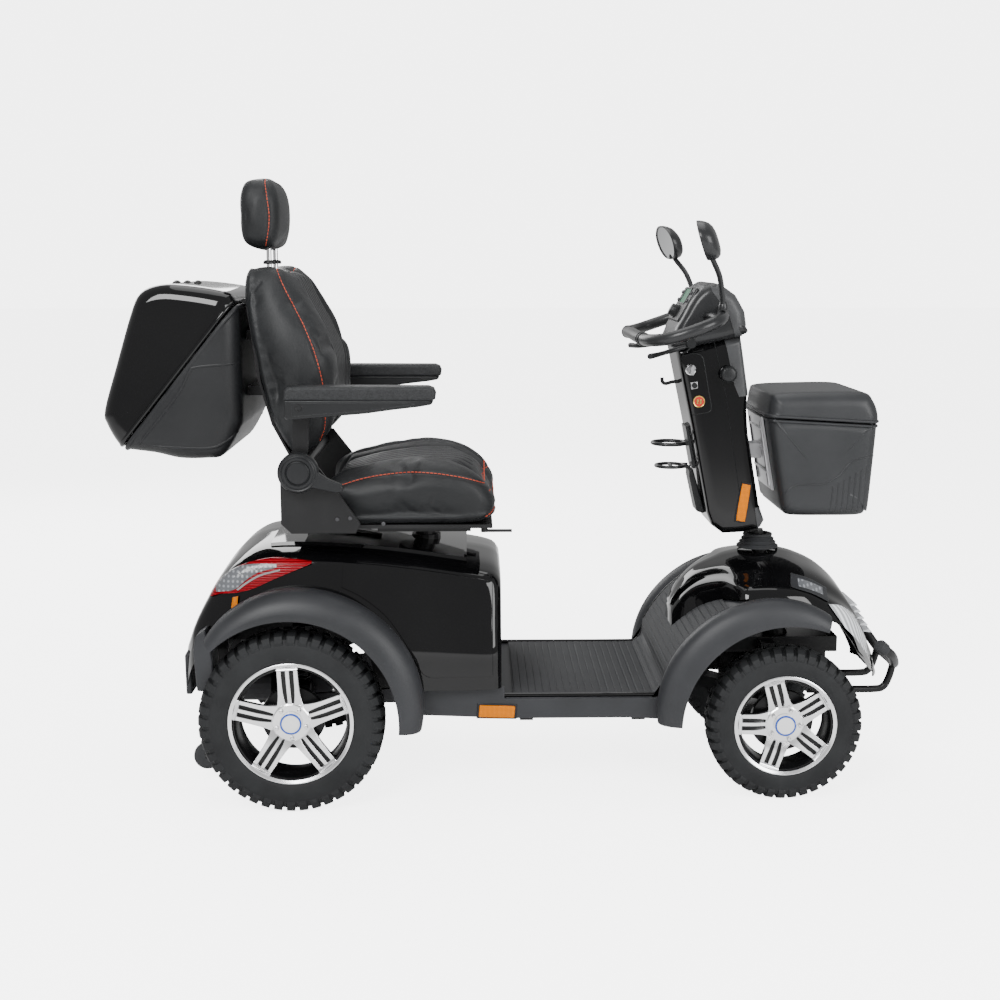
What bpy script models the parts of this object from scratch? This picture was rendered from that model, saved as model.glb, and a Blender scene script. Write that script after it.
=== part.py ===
"""Four-wheel mobility scooter, modelled in metres: +X is forward, +Y is the rider's left, +Z is up.

The origin is on the ground, under the middle of the scooter. Every separate piece is one object, and a
piece that moves has its origin on its joint's axis. Sides are written as -1 for right and +1 for left.
"""

import math

import bmesh
import bpy
from mathutils import Matrix, Vector

# ---------------------------------------------------------------- driving dimensions, in metres
GAP = 0.0006                     # clearance between pieces that rest on each other
SIDES = (("right", -1), ("left", 1))

REAR_AXLE = Vector((-0.505, 0.0, 0.205))
REAR_TRACK = 0.570
REAR_TYRE_RADIUS = 0.205
REAR_TYRE_WIDTH = 0.085
REAR_BEAD_RADIUS = 0.1292

FRONT_AXLE = Vector((0.594, 0.0, 0.175))
FRONT_TRACK = 0.464
FRONT_TYRE_RADIUS = 0.175
FRONT_TYRE_WIDTH = 0.080
FRONT_BEAD_RADIUS = 0.1072
KINGPIN_Y = 0.155

WHEEL_STEPS = 20
SHELL = 0.0045                   # wall of the moulded covers

SEAT_POST_X = -0.215
RECLINE_PIVOT = Vector((-0.479, 0.0, 0.757))
ARMREST_PIVOT = Vector((-0.470, 0.0, 0.902))
HEADREST_LEAN = math.radians(8)

STEERING_RAKE = math.radians(12)
STEERING_POINT = Vector((0.575, 0.0, 0.530))
TILT_PIVOT = Vector((0.530, 0.0, 0.625))
TILLER_HALF_WIDTH = 0.088

REAR_SWING_PIVOT = Vector((-0.200, 0.0, 0.225))
FRONT_SWING_PIVOT = Vector((0.420, 0.0, 0.215))

REAR_BOX_HALF_WIDTH = 0.235
FRONT_BOX_HALF_WIDTH = 0.155

COLOURS = {
    "black_steel": ((0.030, 0.030, 0.032), 0.45, 0.6),
    "gloss_black": ((0.008, 0.008, 0.009), 0.08, 0.0),
    "grey_plastic": ((0.060, 0.062, 0.066), 0.55, 0.0),
    "black_plastic": ((0.020, 0.020, 0.022), 0.45, 0.0),
    "rubber": ((0.018, 0.019, 0.020), 0.75, 0.0),
    "leather": ((0.028, 0.029, 0.031), 0.42, 0.0),
    "alloy": ((0.800, 0.800, 0.810), 0.25, 1.0),
    "chrome": ((0.850, 0.850, 0.860), 0.10, 1.0),
    "red_lens": ((0.550, 0.010, 0.020), 0.12, 0.0),
    "clear_lens": ((0.850, 0.860, 0.880), 0.08, 0.0),
}


# ---------------------------------------------------------------- modelling helpers
def clear_scene():
    for obj in list(bpy.data.objects):
        bpy.data.objects.remove(obj, do_unlink=True)


def material(name):
    found = bpy.data.materials.get(name)
    if found:
        return found
    colour, roughness, metallic = COLOURS[name]
    made = bpy.data.materials.new(name)
    made.use_nodes = True
    shader = made.node_tree.nodes["Principled BSDF"]
    shader.inputs["Base Color"].default_value = (*colour, 1.0)
    shader.inputs["Roughness"].default_value = roughness
    shader.inputs["Metallic"].default_value = metallic
    return made


def add_object(name, bm, finish, pivot=None):
    """Turns a bmesh in world coordinates into an object whose origin is the pivot."""
    bmesh.ops.recalc_face_normals(bm, faces=bm.faces)
    if pivot is not None:
        bmesh.ops.translate(bm, verts=bm.verts, vec=-Vector(pivot))
    mesh = bpy.data.meshes.new(name)
    bm.to_mesh(mesh)
    bm.free()
    mesh.materials.append(material(finish))
    obj = bpy.data.objects.new(name, mesh)
    bpy.context.scene.collection.objects.link(obj)
    if pivot is not None:
        obj.location = pivot
    return obj


def prism_mesh(outline, low, high, axis="Y"):
    """A closed outline extruded along an axis. The outline's points are (x, z), or (x, y) along Z, or (y, z) along X."""
    bm = bmesh.new()
    place = {
        "Y": lambda a, b, c: (a, c, b),
        "Z": lambda a, b, c: (a, b, c),
        "X": lambda a, b, c: (c, a, b),
    }[axis]
    near = [bm.verts.new(place(a, b, low)) for a, b in outline]
    far = [bm.verts.new(place(a, b, high)) for a, b in outline]
    bm.faces.new(near)
    bm.faces.new(list(reversed(far)))
    count = len(outline)
    for i in range(count):
        j = (i + 1) % count
        bm.faces.new((near[i], far[i], far[j], near[j]))
    return bm


def prism(name, outline, low, high, finish, axis="Y", pivot=None):
    return add_object(name, prism_mesh(outline, low, high, axis), finish, pivot)


def box(name, low, high, finish, pivot=None):
    outline = [(low[0], low[2]), (high[0], low[2]), (high[0], high[2]), (low[0], high[2])]
    return prism(name, outline, low[1], high[1], finish, pivot=pivot)


def loft(name, loops, finish, pivot=None):
    """A closed solid through loops of the same number of points, with flat ends."""
    bm = bmesh.new()
    rings = [[bm.verts.new(point) for point in loop] for loop in loops]
    count = len(loops[0])
    for first, second in zip(rings, rings[1:]):
        for i in range(count):
            j = (i + 1) % count
            bm.faces.new((first[i], second[i], second[j], first[j]))
    bm.faces.new(rings[0])
    bm.faces.new(list(reversed(rings[-1])))
    return add_object(name, bm, finish, pivot)


def turned(name, profile, centre, axis, finish, steps=WHEEL_STEPS, pivot=None, open_ends=False):
    """Revolves (radius, along) points about an axis. A closed ring profile, or with open_ends a line from axis to axis."""
    bm = bmesh.new()
    turn = Vector((0, 0, 1)).rotation_difference(Vector(axis)).to_matrix()
    half_step = math.pi / steps
    rings = []
    for radius, along in profile:
        ring = []
        for k in range(steps):
            angle = 2 * math.pi * k / steps + half_step
            local = Vector((radius * math.cos(angle), radius * math.sin(angle), along))
            ring.append(bm.verts.new(Vector(centre) + turn @ local))
        rings.append(ring)
    pairs = list(zip(rings, rings[1:]))
    if not open_ends:
        pairs.append((rings[-1], rings[0]))
    for first, second in pairs:
        for k in range(steps):
            m = (k + 1) % steps
            bm.faces.new((first[k], first[m], second[m], second[k]))
    if open_ends:
        bm.faces.new(rings[0])
        bm.faces.new(list(reversed(rings[-1])))
    return add_object(name, bm, finish, pivot)


def rod(name, start, end, radius, finish, steps=12, pivot=None, end_radius=None):
    """A straight round bar between two points, tapering to end_radius if one is given."""
    start, end = Vector(start), Vector(end)
    profile = [(radius, 0.0), (end_radius or radius, (end - start).length)]
    return turned(name, profile, start, (end - start).normalized(), finish, steps, pivot, open_ends=True)


def smooth_path(points, per_span=4):
    """Points on a smooth curve through the given ones."""
    points = [Vector(p) for p in points]
    padded = [2 * points[0] - points[1], *points, 2 * points[-1] - points[-2]]
    path = []
    for a, b, c, d in zip(padded, padded[1:], padded[2:], padded[3:]):
        for k in range(per_span):
            t = k / per_span
            path.append(0.5 * (2 * b + (c - a) * t + (2 * a - 5 * b + 4 * c - d) * t * t
                               + (3 * b - a - 3 * c + d) * t ** 3))
    path.append(points[-1])
    return path


def tube(name, path, radius, finish, steps=8, pivot=None, closed=False):
    """A round tube that follows a path, with flat ends or closed into a ring."""
    bm = bmesh.new()
    path = [Vector(p) for p in path]
    count = len(path)
    rings = []
    side = None
    for i, point in enumerate(path):
        if closed:
            along = (path[(i + 1) % count] - path[i - 1]).normalized()
        else:
            along = (path[min(i + 1, count - 1)] - path[max(i - 1, 0)]).normalized()
        if side is None:
            side = along.cross(Vector((0, 0, 1)))
            side = side.normalized() if side.length > 0.1 else Vector((1, 0, 0))
        side = (side - along * side.dot(along)).normalized()
        other = along.cross(side)
        ring = []
        for k in range(steps):
            angle = 2 * math.pi * (k + 0.5) / steps
            ring.append(bm.verts.new(point + radius * (math.cos(angle) * side + math.sin(angle) * other)))
        rings.append(ring)
    pairs = list(zip(rings, rings[1:]))
    if closed:
        pairs.append((rings[-1], rings[0]))
    for first, second in pairs:
        for k in range(steps):
            m = (k + 1) % steps
            bm.faces.new((first[k], first[m], second[m], second[k]))
    if not closed:
        bm.faces.new(list(reversed(rings[0])))
        bm.faces.new(rings[-1])
    return add_object(name, bm, finish, pivot)


def helper(obj):
    """Marks an object as a cutter or a piece that a Boolean joins, which the build leaves out."""
    obj.hide_render = True
    obj.display_type = "WIRE"
    return obj


def combine(obj, operation, *others):
    """Adds one Boolean for each other object, in order."""
    for other in others:
        helper(other)
        modifier = obj.modifiers.new(operation.lower() + "_" + other.name, "BOOLEAN")
        modifier.operation = operation
        modifier.object = other
        modifier.solver = "EXACT"
    return obj


def join(obj, *others):
    return combine(obj, "UNION", *others)


def cut(obj, *others):
    return combine(obj, "DIFFERENCE", *others)


def bevel(obj, width, segments=2, angle=30):
    modifier = obj.modifiers.new("bevel", "BEVEL")
    modifier.width = width
    modifier.segments = segments
    modifier.limit_method = "ANGLE"
    modifier.angle_limit = math.radians(angle)
    return obj


def arc(centre, radius, start_deg, end_deg, count):
    """Points (x, z) on an arc, from start to end."""
    points = []
    for k in range(count):
        angle = math.radians(start_deg + (end_deg - start_deg) * k / (count - 1))
        points.append((centre[0] + radius * math.cos(angle), centre[1] + radius * math.sin(angle)))
    return points


def inset_outline(outline, distance):
    """The outline moved inwards by a distance, for the inside of a wall."""
    area = sum(a[0] * b[1] - b[0] * a[1] for a, b in zip(outline, outline[1:] + outline[:1]))
    sign = 1 if area > 0 else -1
    moved = []
    count = len(outline)
    for i in range(count):
        before, here, after = (Vector(outline[k % count]) for k in (i - 1, i, i + 1))
        first, second = (here - before).normalized(), (after - here).normalized()
        inward_a = sign * Vector((-first.y, first.x))
        inward_b = sign * Vector((-second.y, second.x))
        bisector = (inward_a + inward_b).normalized()
        moved.append(tuple(here + bisector * distance / max(0.4, bisector.dot(inward_a))))
    return moved


def steering_axis_at(z):
    """The point of the steering axis at a height."""
    return STEERING_POINT + Vector((-math.tan(STEERING_RAKE), 0, 1)) * (z - STEERING_POINT.z)


# ---------------------------------------------------------------- wheels
def tyre(name, centre, radius, width, bead, side):
    """A tubeless tyre: an open carcass whose beads sit beside the rim's flanges."""
    half = width / 2
    wall = radius - bead
    flat = radius / math.cos(math.pi / WHEEL_STEPS)
    profile = [
        (bead, -half + 0.0105), (bead + 0.0082, -half + 0.0082), (bead + 0.0085, -half + 0.0020),
        (bead + 0.60 * wall, -half), (flat, -half + 0.016), (flat, half - 0.016), (bead + 0.60 * wall, half),
        (bead + 0.0085, half - 0.0020), (bead + 0.0082, half - 0.0082), (bead, half - 0.0105),
        (bead, half - 0.0200), (radius - 0.011, half - 0.022), (radius - 0.011, -half + 0.022), (bead, -half + 0.0200),
    ]
    return turned(name, profile, centre, (0, side, 0), "rubber", pivot=centre)


def rim(name, centre, width, bead, side, bore, hub_inner, hub_outer):
    """A cast rim: a barrel with two flanges, a hub, and five spokes near its outer face."""
    half = width / 2
    seat = bead - 0.0007
    flange = bead + 0.0072
    barrel = [
        (seat, -half + 0.0100), (flange, -half + 0.0073), (flange, -half + 0.0026),
        (seat - 0.0110, -half + 0.0026), (seat - 0.0110, half - 0.0026), (flange, half - 0.0026),
        (flange, half - 0.0073), (seat, half - 0.0100),
    ]
    body = turned(name, barrel, centre, (0, side, 0), "alloy", pivot=centre)
    hub_profile = [(bore, hub_inner), (0.030, hub_inner), (0.036, half - 0.020), (0.036, hub_outer), (bore, hub_outer)]
    hub = turned(name + "_hub", hub_profile, centre, (0, side, 0), "alloy", steps=12)
    spokes = []
    for k in range(5):
        turn = Matrix.Rotation(math.radians(90 + 72 * k), 3, "Y")
        outline = [(0.030, 0.019), (0.030, -0.019), (seat - 0.006, -0.022), (seat - 0.006, 0.022)]
        loops = []
        for along in (half - 0.017, half - 0.006):
            loops.append([Vector(centre) + turn @ Vector((a, 0, b)) + Vector((0, side * along, 0)) for a, b in outline])
        spokes.append(loft(f"{name}_spoke_{k}", loops, "alloy"))
    return join(body, hub, *spokes)


def make_wheels():
    for label, side in SIDES:
        rear = REAR_AXLE + Vector((0, side * REAR_TRACK / 2, 0))
        tyre("rear_tyre_" + label, rear, REAR_TYRE_RADIUS, REAR_TYRE_WIDTH, REAR_BEAD_RADIUS, side)
        rim("rear_rim_" + label, rear, REAR_TYRE_WIDTH, REAR_BEAD_RADIUS, side, 0.0150, -0.030, half_hub(REAR_TYRE_WIDTH))
        front = FRONT_AXLE + Vector((0, side * FRONT_TRACK / 2, 0))
        tyre("front_tyre_" + label, front, FRONT_TYRE_RADIUS, FRONT_TYRE_WIDTH, FRONT_BEAD_RADIUS, side)
        rim("front_rim_" + label, front, FRONT_TYRE_WIDTH, FRONT_BEAD_RADIUS, side, 0.0130, -0.024, half_hub(FRONT_TYRE_WIDTH))
        make_anti_tip_wheel(label, side)


def half_hub(width):
    """How far the hub's outer face stands from the tyre's middle plane."""
    return width / 2 - 0.005


ANTI_TIP = Vector((-0.725, 0.0, 0.066))
ANTI_TIP_Y = 0.125
ANTI_TIP_RADIUS = 0.032


def make_anti_tip_wheel(label, side):
    centre = ANTI_TIP + Vector((0, side * ANTI_TIP_Y, 0))
    profile = [(0.0058, -0.010), (0.024, -0.011), (ANTI_TIP_RADIUS, -0.007), (ANTI_TIP_RADIUS, 0.007), (0.024, 0.011), (0.0058, 0.010)]
    turned("anti_tip_wheel_" + label, profile, centre, (0, side, 0), "rubber", steps=14, pivot=centre)


# ---------------------------------------------------------------- chassis
FRAME_HALF_WIDTH = 0.045


def make_frame():
    """The welded backbone: rear kick-up over the axle, seat tower, floor spine, front spine and head tube."""
    backbone = [
        (-0.700, 0.322), (-0.362, 0.322), (-0.322, 0.165), (0.325, 0.165), (0.455, 0.285), (0.760, 0.285),
        (0.760, 0.322), (0.440, 0.322), (0.308, 0.203), (-0.291, 0.203), (-0.318, 0.315),
        (-0.318, 0.435), (-0.170, 0.435), (-0.170, 0.470), (-0.352, 0.470), (-0.352, 0.362), (-0.700, 0.362),
    ]
    frame = prism("main_frame", backbone, -FRAME_HALF_WIDTH, FRAME_HALF_WIDTH, "black_steel")
    parts = [
        rod("seat_socket", (SEAT_POST_X, 0, 0.428), (SEAT_POST_X, 0, 0.568), 0.034, "black_steel", 16),
        rod("head_tube", steering_axis_at(0.300), steering_axis_at(0.470), 0.029, "black_steel", 16),
        box("floor_bearer_rear", (0.000, -0.205, 0.172), (0.030, 0.205, 0.202), "black_steel"),
        box("floor_bearer_front", (0.255, -0.205, 0.172), (0.285, 0.205, 0.202), "black_steel"),
        box("rear_cross_bar", (-0.695, -0.150, 0.328), (-0.665, 0.150, 0.356), "black_steel"),
        box("bumper_drop", (0.695, -0.038, 0.180), (0.735, 0.038, 0.300), "black_steel"),
        box("rear_swing_bar", (-0.214, -0.150, 0.170), (-0.186, 0.150, 0.202), "black_steel"),
        box("spring_hanger_rear", (-0.530, -0.135, 0.326), (-0.480, 0.135, 0.358), "black_steel"),
        box("spring_hanger_front", (0.570, -0.088, 0.290), (0.604, 0.088, 0.318), "black_steel"),
    ]
    for label, side in SIDES:
        inner, outer = side * 0.1000, side * 0.1075
        leg = [(-0.700, 0.350), (-0.745, 0.080), (-0.738, 0.052), (-0.712, 0.052), (-0.707, 0.080), (-0.667, 0.350)]
        parts.append(prism("anti_tip_leg_" + label, leg, min(inner, outer), max(inner, outer), "black_steel"))
        pin_start = ANTI_TIP + Vector((0, inner, 0))
        pin_end = ANTI_TIP + Vector((0, side * (ANTI_TIP_Y + 0.014), 0))
        parts.append(rod("anti_tip_pin_" + label, pin_start, pin_end, 0.0042, "black_steel", 10))
        lug = [(-0.216, 0.190), (-0.184, 0.190), (-0.184, 0.240), (-0.216, 0.240)]
        lows = sorted((side * 0.128, side * 0.136))
        parts.append(prism("rear_lug_" + label, lug, *lows, "black_steel"))
        front_lug = [(0.400, 0.262), (0.404, 0.200), (0.436, 0.200), (0.442, 0.290)]
        lows = sorted((side * 0.0365, side * 0.0440))
        parts.append(prism("front_lug_" + label, front_lug, *lows, "black_steel"))
    join(frame, *parts)
    pin_ends = (("rear_swing_pin", REAR_SWING_PIVOT, 0.168, 0.0060), ("front_swing_pin", FRONT_SWING_PIVOT, 0.040, 0.0060))
    for name, pivot, reach, radius in pin_ends:
        if name.startswith("rear"):
            for label, side in SIDES:
                start = pivot + Vector((0, side * 0.130, 0))
                join(frame, rod(f"{name}_{label}", start, pivot + Vector((0, side * reach, 0)), radius, "black_steel", 10))
        else:
            join(frame, rod(name, pivot - Vector((0, reach, 0)), pivot + Vector((0, reach, 0)), radius, "black_steel", 10))
    cut(
        frame,
        rod("seat_socket_bore", (SEAT_POST_X, 0, 0.420), (SEAT_POST_X, 0, 0.590), 0.0265, "black_steel", 16),
        rod("head_tube_bore", steering_axis_at(0.250), steering_axis_at(0.500), 0.0190, "black_steel", 16),
    )


def make_battery():
    pack = box("battery_pack", (-0.262, -0.165, 0.2045), (-0.062, 0.165, 0.398), "black_plastic")
    bevel(pack, 0.008, 1)
    slot = box("battery_lug_slot", (-0.262 - 0.02, -0.200, 0.150), (-0.172, 0.200, 0.262), "black_plastic")
    cut(pack, slot)


def make_transaxle():
    """Gearbox and axle tubes on two trailing arms, with the shafts that carry the wheels."""
    x, z = REAR_AXLE.x, REAR_AXLE.z
    body = rod("rear_transaxle", (x, -0.232, z), (x, 0.232, z), 0.026, "black_steel", 14)
    parts = [
        rod("gearbox", (x, -0.062, z), (x, 0.050, z), 0.066, "black_steel", 18),
        rod("shaft", (x, -0.322, z), (x, 0.322, z), 0.0120, "black_steel", 12),
    ]
    for label, side in SIDES:
        arm = [(x, z - 0.016), (-0.200, 0.209), (-0.184, 0.225), (-0.200, 0.241), (x, z + 0.016)]
        lows = sorted((side * 0.150, side * 0.162))
        parts.append(prism("trailing_arm_" + label, arm, *lows, "black_steel"))
        seat_top = z + 0.030
        lows = sorted((side * 0.092, side * 0.132))
        spring_seat = [(x - 0.022, z), (x + 0.022, z), (x + 0.022, seat_top), (x - 0.022, seat_top)]
        parts.append(prism("spring_seat_" + label, spring_seat, *lows, "black_steel"))
    join(body, *parts)
    for label, side in SIDES:
        start = REAR_SWING_PIVOT + Vector((0, side * 0.140, 0))
        cut(body, rod("arm_bore_" + label, start, start + Vector((0, side * 0.030, 0)), 0.0085, "black_steel", 10))


def make_motor():
    """The drive motor lies along X behind the gearbox."""
    x = REAR_AXLE.x - 0.0670
    rod_low = Vector((x, -0.006, REAR_AXLE.z + 0.004))
    profile = [(0.030, 0.0), (0.046, 0.012), (0.046, 0.085), (0.030, 0.098)]
    turned("drive_motor", profile, rod_low, (-1, 0, 0), "black_steel", steps=20, open_ends=True)


def make_front_axle():
    x, z = FRONT_AXLE.x, FRONT_AXLE.z
    beam = box("front_axle_beam", (x - 0.018, -0.140, z - 0.012), (x + 0.018, 0.140, z + 0.012), "black_steel")
    arm = [(x - 0.010, z - 0.012), (x - 0.010, z + 0.012), (0.428, 0.229), (0.412, 0.226), (0.408, 0.208), (0.420, 0.201)]
    parts = [prism("front_swing_arm", arm, -0.0340, 0.0340, "black_steel")]
    for label, side in SIDES:
        boss_low = (x, side * KINGPIN_Y, z - 0.0145)
        parts.append(rod("kingpin_boss_" + label, boss_low, (x, side * KINGPIN_Y, z + 0.0145), 0.0235, "black_steel", 16))
        lows = sorted((side * 0.058, side * 0.092))
        seat = [(x - 0.017, z), (x + 0.017, z), (x + 0.017, z + 0.020), (x - 0.017, z + 0.020)]
        parts.append(prism("front_spring_seat_" + label, seat, *lows, "black_steel"))
    join(beam, *parts)
    for label, side in SIDES:
        bore_low = (x, side * KINGPIN_Y, z - 0.030)
        cut(beam, rod("kingpin_bore_" + label, bore_low, (x, side * KINGPIN_Y, z + 0.030), 0.0160, "black_steel", 14))
    pivot = FRONT_SWING_PIVOT
    cut(beam, rod("front_arm_bore", pivot - Vector((0, 0.06, 0)), pivot + Vector((0, 0.06, 0)), 0.0085, "black_steel", 10))
    for label, side in SIDES:
        make_knuckle(label, side)
    rod_z = z - 0.019
    tie = rod("tie_rod", (x - 0.084, -0.150, rod_z), (x - 0.084, 0.150, rod_z), 0.0055, "black_steel", 8)
    for label, side in SIDES:
        end = (x - 0.084, side * 0.150)
        eye = rod("tie_eye_" + label, (*end, rod_z - 0.008), (*end, rod_z + 0.0075), 0.010, "black_steel", 12)
        join(tie, eye)


def make_knuckle(label, side):
    """Kingpin, C-shaped carrier, stub axle, and a steering arm that reaches back."""
    x, z = FRONT_AXLE.x, FRONT_AXLE.z
    pivot = Vector((x, side * KINGPIN_Y, z))
    pin = rod("steering_knuckle_" + label, pivot - Vector((0, 0, 0.036)), pivot + Vector((0, 0, 0.036)), 0.0125, "black_steel", 14, pivot=pivot)
    plate_low, plate_high = sorted((side * 0.1830, side * 0.1900))
    arm_low, arm_high = sorted((side * (KINGPIN_Y - 0.012), side * 0.1880))
    parts = [
        box("carrier_plate_" + label, (x - 0.022, plate_low, z - 0.036), (x + 0.022, plate_high, z + 0.036), "black_steel"),
        box("carrier_top_" + label, (x - 0.016, arm_low, z + 0.019), (x + 0.016, arm_high, z + 0.033), "black_steel"),
        box("carrier_bottom_" + label, (x - 0.016, arm_low, z - 0.033), (x + 0.016, arm_high, z - 0.019), "black_steel"),
        rod("stub_" + label, (x, side * 0.185, z), (x, side * 0.2640, z), 0.0100, "black_steel", 12),
    ]
    lows = sorted((side * 0.1400, side * 0.1600))
    arm = [(x - 0.098, z - 0.010), (x - 0.066, z - 0.010), (x - 0.030, z - 0.031), (x - 0.010, z - 0.033),
           (x - 0.010, z - 0.021), (x - 0.026, z - 0.019), (x - 0.062, z - 0.001), (x - 0.098, z - 0.001)]
    parts.append(prism("steering_arm_" + label, arm, *lows, "black_steel"))
    join(pin, *parts)


# ---------------------------------------------------------------- body covers
def cover_loops(stations, floor_z, drop=0.0, thickness=0.0):
    """Cross-sections of a body cover. A station is (x, half width at the bottom, half width at the top, shoulder height,
    crown height); thickness moves the section inwards for the inside of the wall, and drop lowers its open bottom."""
    loops = []
    for x, bottom_half, top_half, shoulder, crown in stations:
        b, t = bottom_half - thickness, top_half - thickness
        s, c = shoulder - thickness, crown - thickness
        low = floor_z - drop
        radius = min(0.030, 0.30 * (s - floor_z))
        half = [
            (b, low), (b, floor_z + 0.35 * (s - floor_z)), (t + 0.10 * (b - t), s - radius),
            (t - 0.35 * radius, s - 0.30 * radius), (t - 1.2 * radius, s), (0.45 * t, c),
        ]
        right = [(x, -y, z) for y, z in half]
        left = [(x, y, z) for y, z in reversed(half)]
        loops.append(right + left)
    return loops


REAR_COVER_FLOOR = 0.268
REAR_STATIONS = [
    (-0.748, 0.215, 0.205, 0.352, 0.358), (-0.728, 0.250, 0.235, 0.402, 0.410), (-0.700, 0.264, 0.240, 0.456, 0.464),
    (-0.668, 0.270, 0.238, 0.506, 0.514), (-0.630, 0.272, 0.236, 0.543, 0.552), (-0.580, 0.273, 0.234, 0.562, 0.573),
    (-0.480, 0.273, 0.232, 0.566, 0.578), (-0.300, 0.272, 0.228, 0.555, 0.566), (-0.120, 0.268, 0.222, 0.528, 0.540),
    (-0.062, 0.262, 0.216, 0.516, 0.528), (-0.042, 0.250, 0.205, 0.498, 0.508),
]


def rear_cover_solid(name, grow):
    """The rear cover's outer solid, made larger or smaller by grow."""
    stations = [list(s) for s in REAR_STATIONS]
    stations[0][0] -= grow
    stations[-1][0] += grow
    return loft(name, cover_loops(stations, REAR_COVER_FLOOR, thickness=-grow), "gloss_black")


def wheel_arch_cutter(name, centre, radius, inner_y, outer_y, side, steps=32):
    start = Vector((centre.x, side * inner_y, centre.z))
    end = Vector((centre.x, side * outer_y, centre.z))
    return rod(name, start, end, radius, "black_plastic", steps)


DOOR_OUTLINE = [(-0.395, 0.535), (-0.395, 0.487), (-0.330, 0.455), (-0.270, 0.395), (-0.228, 0.318), (-0.205, 0.296), (-0.064, 0.296), (-0.064, 0.492), (-0.080, 0.503)]


def make_rear_cover():
    cover = rear_cover_solid("rear_shroud", 0.0)
    inside_stations = [list(s) for s in REAR_STATIONS]
    inside_stations[0][0] += SHELL
    inside_stations[-1][0] -= SHELL
    inside = loft("rear_inside", cover_loops(inside_stations, REAR_COVER_FLOOR, drop=0.02, thickness=SHELL), "gloss_black")
    cutters = [inside]
    for label, side in SIDES:
        cutters.append(wheel_arch_cutter("rear_arch_" + label, REAR_AXLE, 0.262, 0.150, 0.400, side))
        lows = sorted((side * 0.190, side * 0.300))
        cutters.append(prism("door_opening_" + label, DOOR_OUTLINE, *lows, "gloss_black"))
    cutters.append(rod("post_hole", (SEAT_POST_X, 0, 0.500), (SEAT_POST_X, 0, 0.620), 0.0380, "gloss_black", 16))
    cut(cover, *cutters)
    for label, side in SIDES:
        lows = sorted((side * 0.200, side * 0.320))
        door = prism("battery_door_" + label, inset_outline(DOOR_OUTLINE, 0.0015), *lows, "gloss_black")
        combine(door, "INTERSECT", rear_cover_solid("door_skin_" + label, 0.0015))
        cut(door, rear_cover_solid("door_back_" + label, -0.0030))


LAMP_OUTLINE = [(-0.720, 0.478), (-0.608, 0.474), (-0.545, 0.496), (-0.462, 0.543), (-0.500, 0.549), (-0.560, 0.548), (-0.640, 0.539), (-0.720, 0.530)]


def make_tail_lights():
    """Each tail light is a lens that stands proud of the cover's corner."""
    for label, side in SIDES:
        lows = sorted((side * 0.120, side * 0.320))
        lens = prism("tail_light_" + label, LAMP_OUTLINE, *lows, "red_lens")
        combine(lens, "INTERSECT", rear_cover_solid("lens_skin_" + label, 0.0070))
        cut(lens, rear_cover_solid("lens_back_" + label, 0.0012))


FENDER_SECTION = [(0.292, 0.2775), (0.300, 0.300), (0.296, 0.322), (0.268, 0.349), (0.236, 0.354), (0.2355, 0.349), (0.264, 0.344), (0.291, 0.319), (0.295, 0.300), (0.2875, 0.2775)]


FRONT_FENDER_SECTION = [(0.294, 0.2420), (0.300, 0.256), (0.297, 0.272), (0.272, 0.294), (0.240, 0.299), (0.2395, 0.294), (0.268, 0.289), (0.292, 0.269), (0.295, 0.256), (0.2885, 0.2420)]


def make_fender(name, centre, side, start_deg, end_deg, section, shrink, steps):
    """A moulded arch: the section (radius, y) swept round the wheel. shrink(t) narrows the outer edge near the ends."""
    loops = []
    inner = min(radius for radius, _ in section)
    for k in range(steps + 1):
        t = k / steps
        angle = math.radians(start_deg + (end_deg - start_deg) * t)
        loop = []
        for radius, y in section:
            reach = inner + (radius - inner) * shrink(t)
            loop.append((centre.x + reach * math.cos(angle), side * y, centre.z + reach * math.sin(angle)))
        loops.append(loop)
    return loft(name, loops, "grey_plastic", pivot=None)


def make_fenders():
    for label, side in SIDES:
        make_fender("rear_fender_" + label, REAR_AXLE, side, -3, 133, FENDER_SECTION,
                    lambda t: 1.0 - 0.40 * abs(2 * t - 0.85) ** 2.6, 14)
        make_fender("front_fender_" + label, FRONT_AXLE, side, 176, 74, FRONT_FENDER_SECTION,
                    lambda t: 1.0 - 0.35 * abs(2 * t - 0.85) ** 3.0, 11)


FLOOR_TOP = 0.236
FLOOR_HALF_WIDTH = 0.236


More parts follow.
